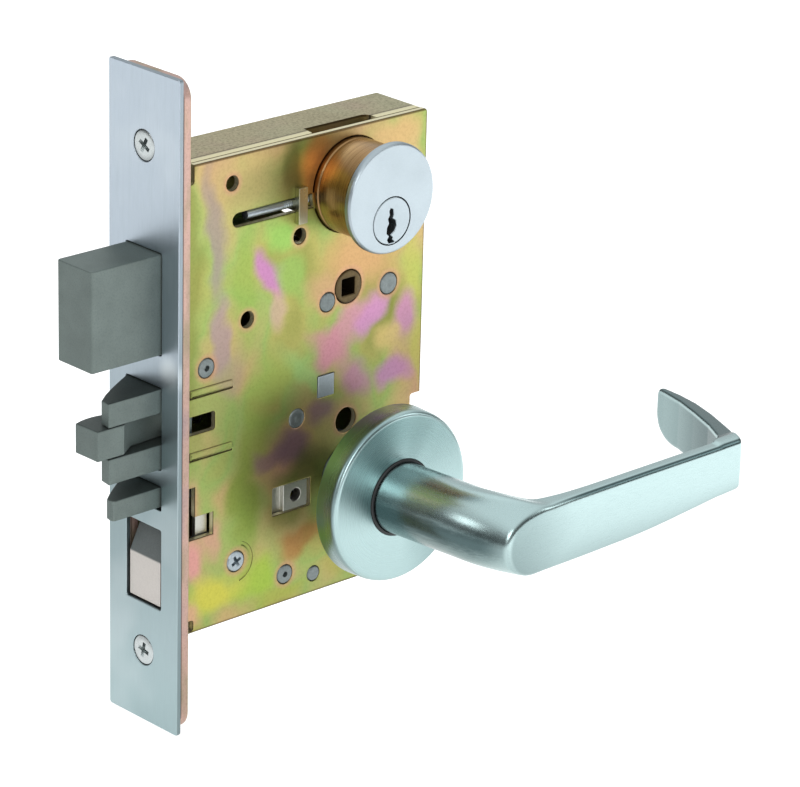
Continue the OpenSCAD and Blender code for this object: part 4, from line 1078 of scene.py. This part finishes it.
# light from above, and a glow behind on the right: its direction, the closeness to it between which it
# changes, and the light at each
GLOWS = (((0, 0, 1), (0.35, 0.95, 0.16, 1.25)), ((0.64, 0.68, 0.36), (0.7, 1.0, 0.0, 0.65)))
for way, reach in GLOWS:
    toward = new("ShaderNodeVectorMath")
    toward.operation = "DOT_PRODUCT"
    link(coord.outputs["Generated"], toward.inputs[0])
    toward.inputs[1].default_value = way
    span = new("ShaderNodeMapRange")
    span.interpolation_type = "SMOOTHSTEP"
    link(toward.outputs["Value"], span.inputs[0])
    for i, v in enumerate(reach):
        span.inputs[i + 1].default_value = v
    if total:
        both = new("ShaderNodeMath")
        link(total, both.inputs[0])
        link(span.outputs[0], both.inputs[1])
        total = both.outputs[0]
    else:
        total = span.outputs[0]
glow = new("ShaderNodeBackground")
glow.inputs[0].default_value = (0.96, 0.99, 1.0, 1)
link(total, glow.inputs[1])
link(glow.outputs[0], new("ShaderNodeOutputWorld").inputs[0])

# the floor, just under the armor front's lower end, gives off light: brighter past the lock's right side, and
# dimmer at its left
FLOOR_Z, FLOOR_HALF = -0.0656, 6.0
ground = bpy.data.meshes.new("ground")
corners = ((-1, -1), (1, -1), (1, 1), (-1, 1))
ground.from_pydata([(u * FLOOR_HALF, v * FLOOR_HALF, FLOOR_Z) for u, v in corners], [], [(0, 1, 2, 3)])
ground_obj = linked("ground", ground)
k = Paint("ground")
across = k.vec("DOT_PRODUCT", k.p, (0.73, -0.68, 0))
aside = k.vec("DOT_PRODUCT", k.p, (0.80, -0.61, 0))
bright = k.fade(across, 190, 350, 0.8, 1.35)
dip = k.times(k.fade(aside, -60, -130), k.fade(aside, -420, -240))
k.set(Base_Color=(0.6, 0.6, 0.6, 1), Roughness=0.8, Emission_Color=(1, 1, 1, 1),
      Emission_Strength=k.scaled(dip, -0.55, bright))
ground.materials.append(k.mat)


AIM = (0.07, -0.02, 0.03)


def lamp(name, at, size, power):
    """A square lamp, with its side in metres and its power in watts."""
    data = bpy.data.lights.new(name, "AREA")
    data.energy = power
    data.size = size
    obj = linked(name, data)
    obj.location = at
    obj.rotation_mode = "QUATERNION"
    obj.rotation_quaternion = (Vector(AIM) - Vector(at)).to_track_quat("-Z", "Y")


lamp("key", (-0.55, -0.75, 0.55), 0.5, 3)
lamp("front", (0.85, -0.6, 0.45), 0.4, 1.5)
lamp("side", (-0.9, 0.15, 0.5), 0.3, 1.0)

YAW, PITCH, ROLL = (math.radians(a) for a in (43.21, 20.89, 1.49))
AT = Vector((-0.6904, -0.8441, 0.4566))
ahead = Vector((math.sin(YAW) * math.cos(PITCH), math.cos(YAW) * math.cos(PITCH), -math.sin(PITCH)))
right = Vector((math.cos(YAW), -math.sin(YAW), 0))
above = right.cross(ahead)
c, s = math.cos(ROLL), math.sin(ROLL)
right, above = c * right + s * above, c * above - s * right
LENS, SENSOR = 180, 36
cam = bpy.data.cameras.new("camera")
cam.sensor_width = SENSOR
cam.lens = LENS
cam.clip_start, cam.clip_end = 0.05, 20
cam_obj = linked("camera", cam)
cam_obj.matrix_world = Matrix.Translation(AT) @ Matrix((right, above, -ahead)).transposed().to_4x4()
bpy.context.scene.camera = cam_obj
bpy.context.scene.view_settings.view_transform = "Standard"
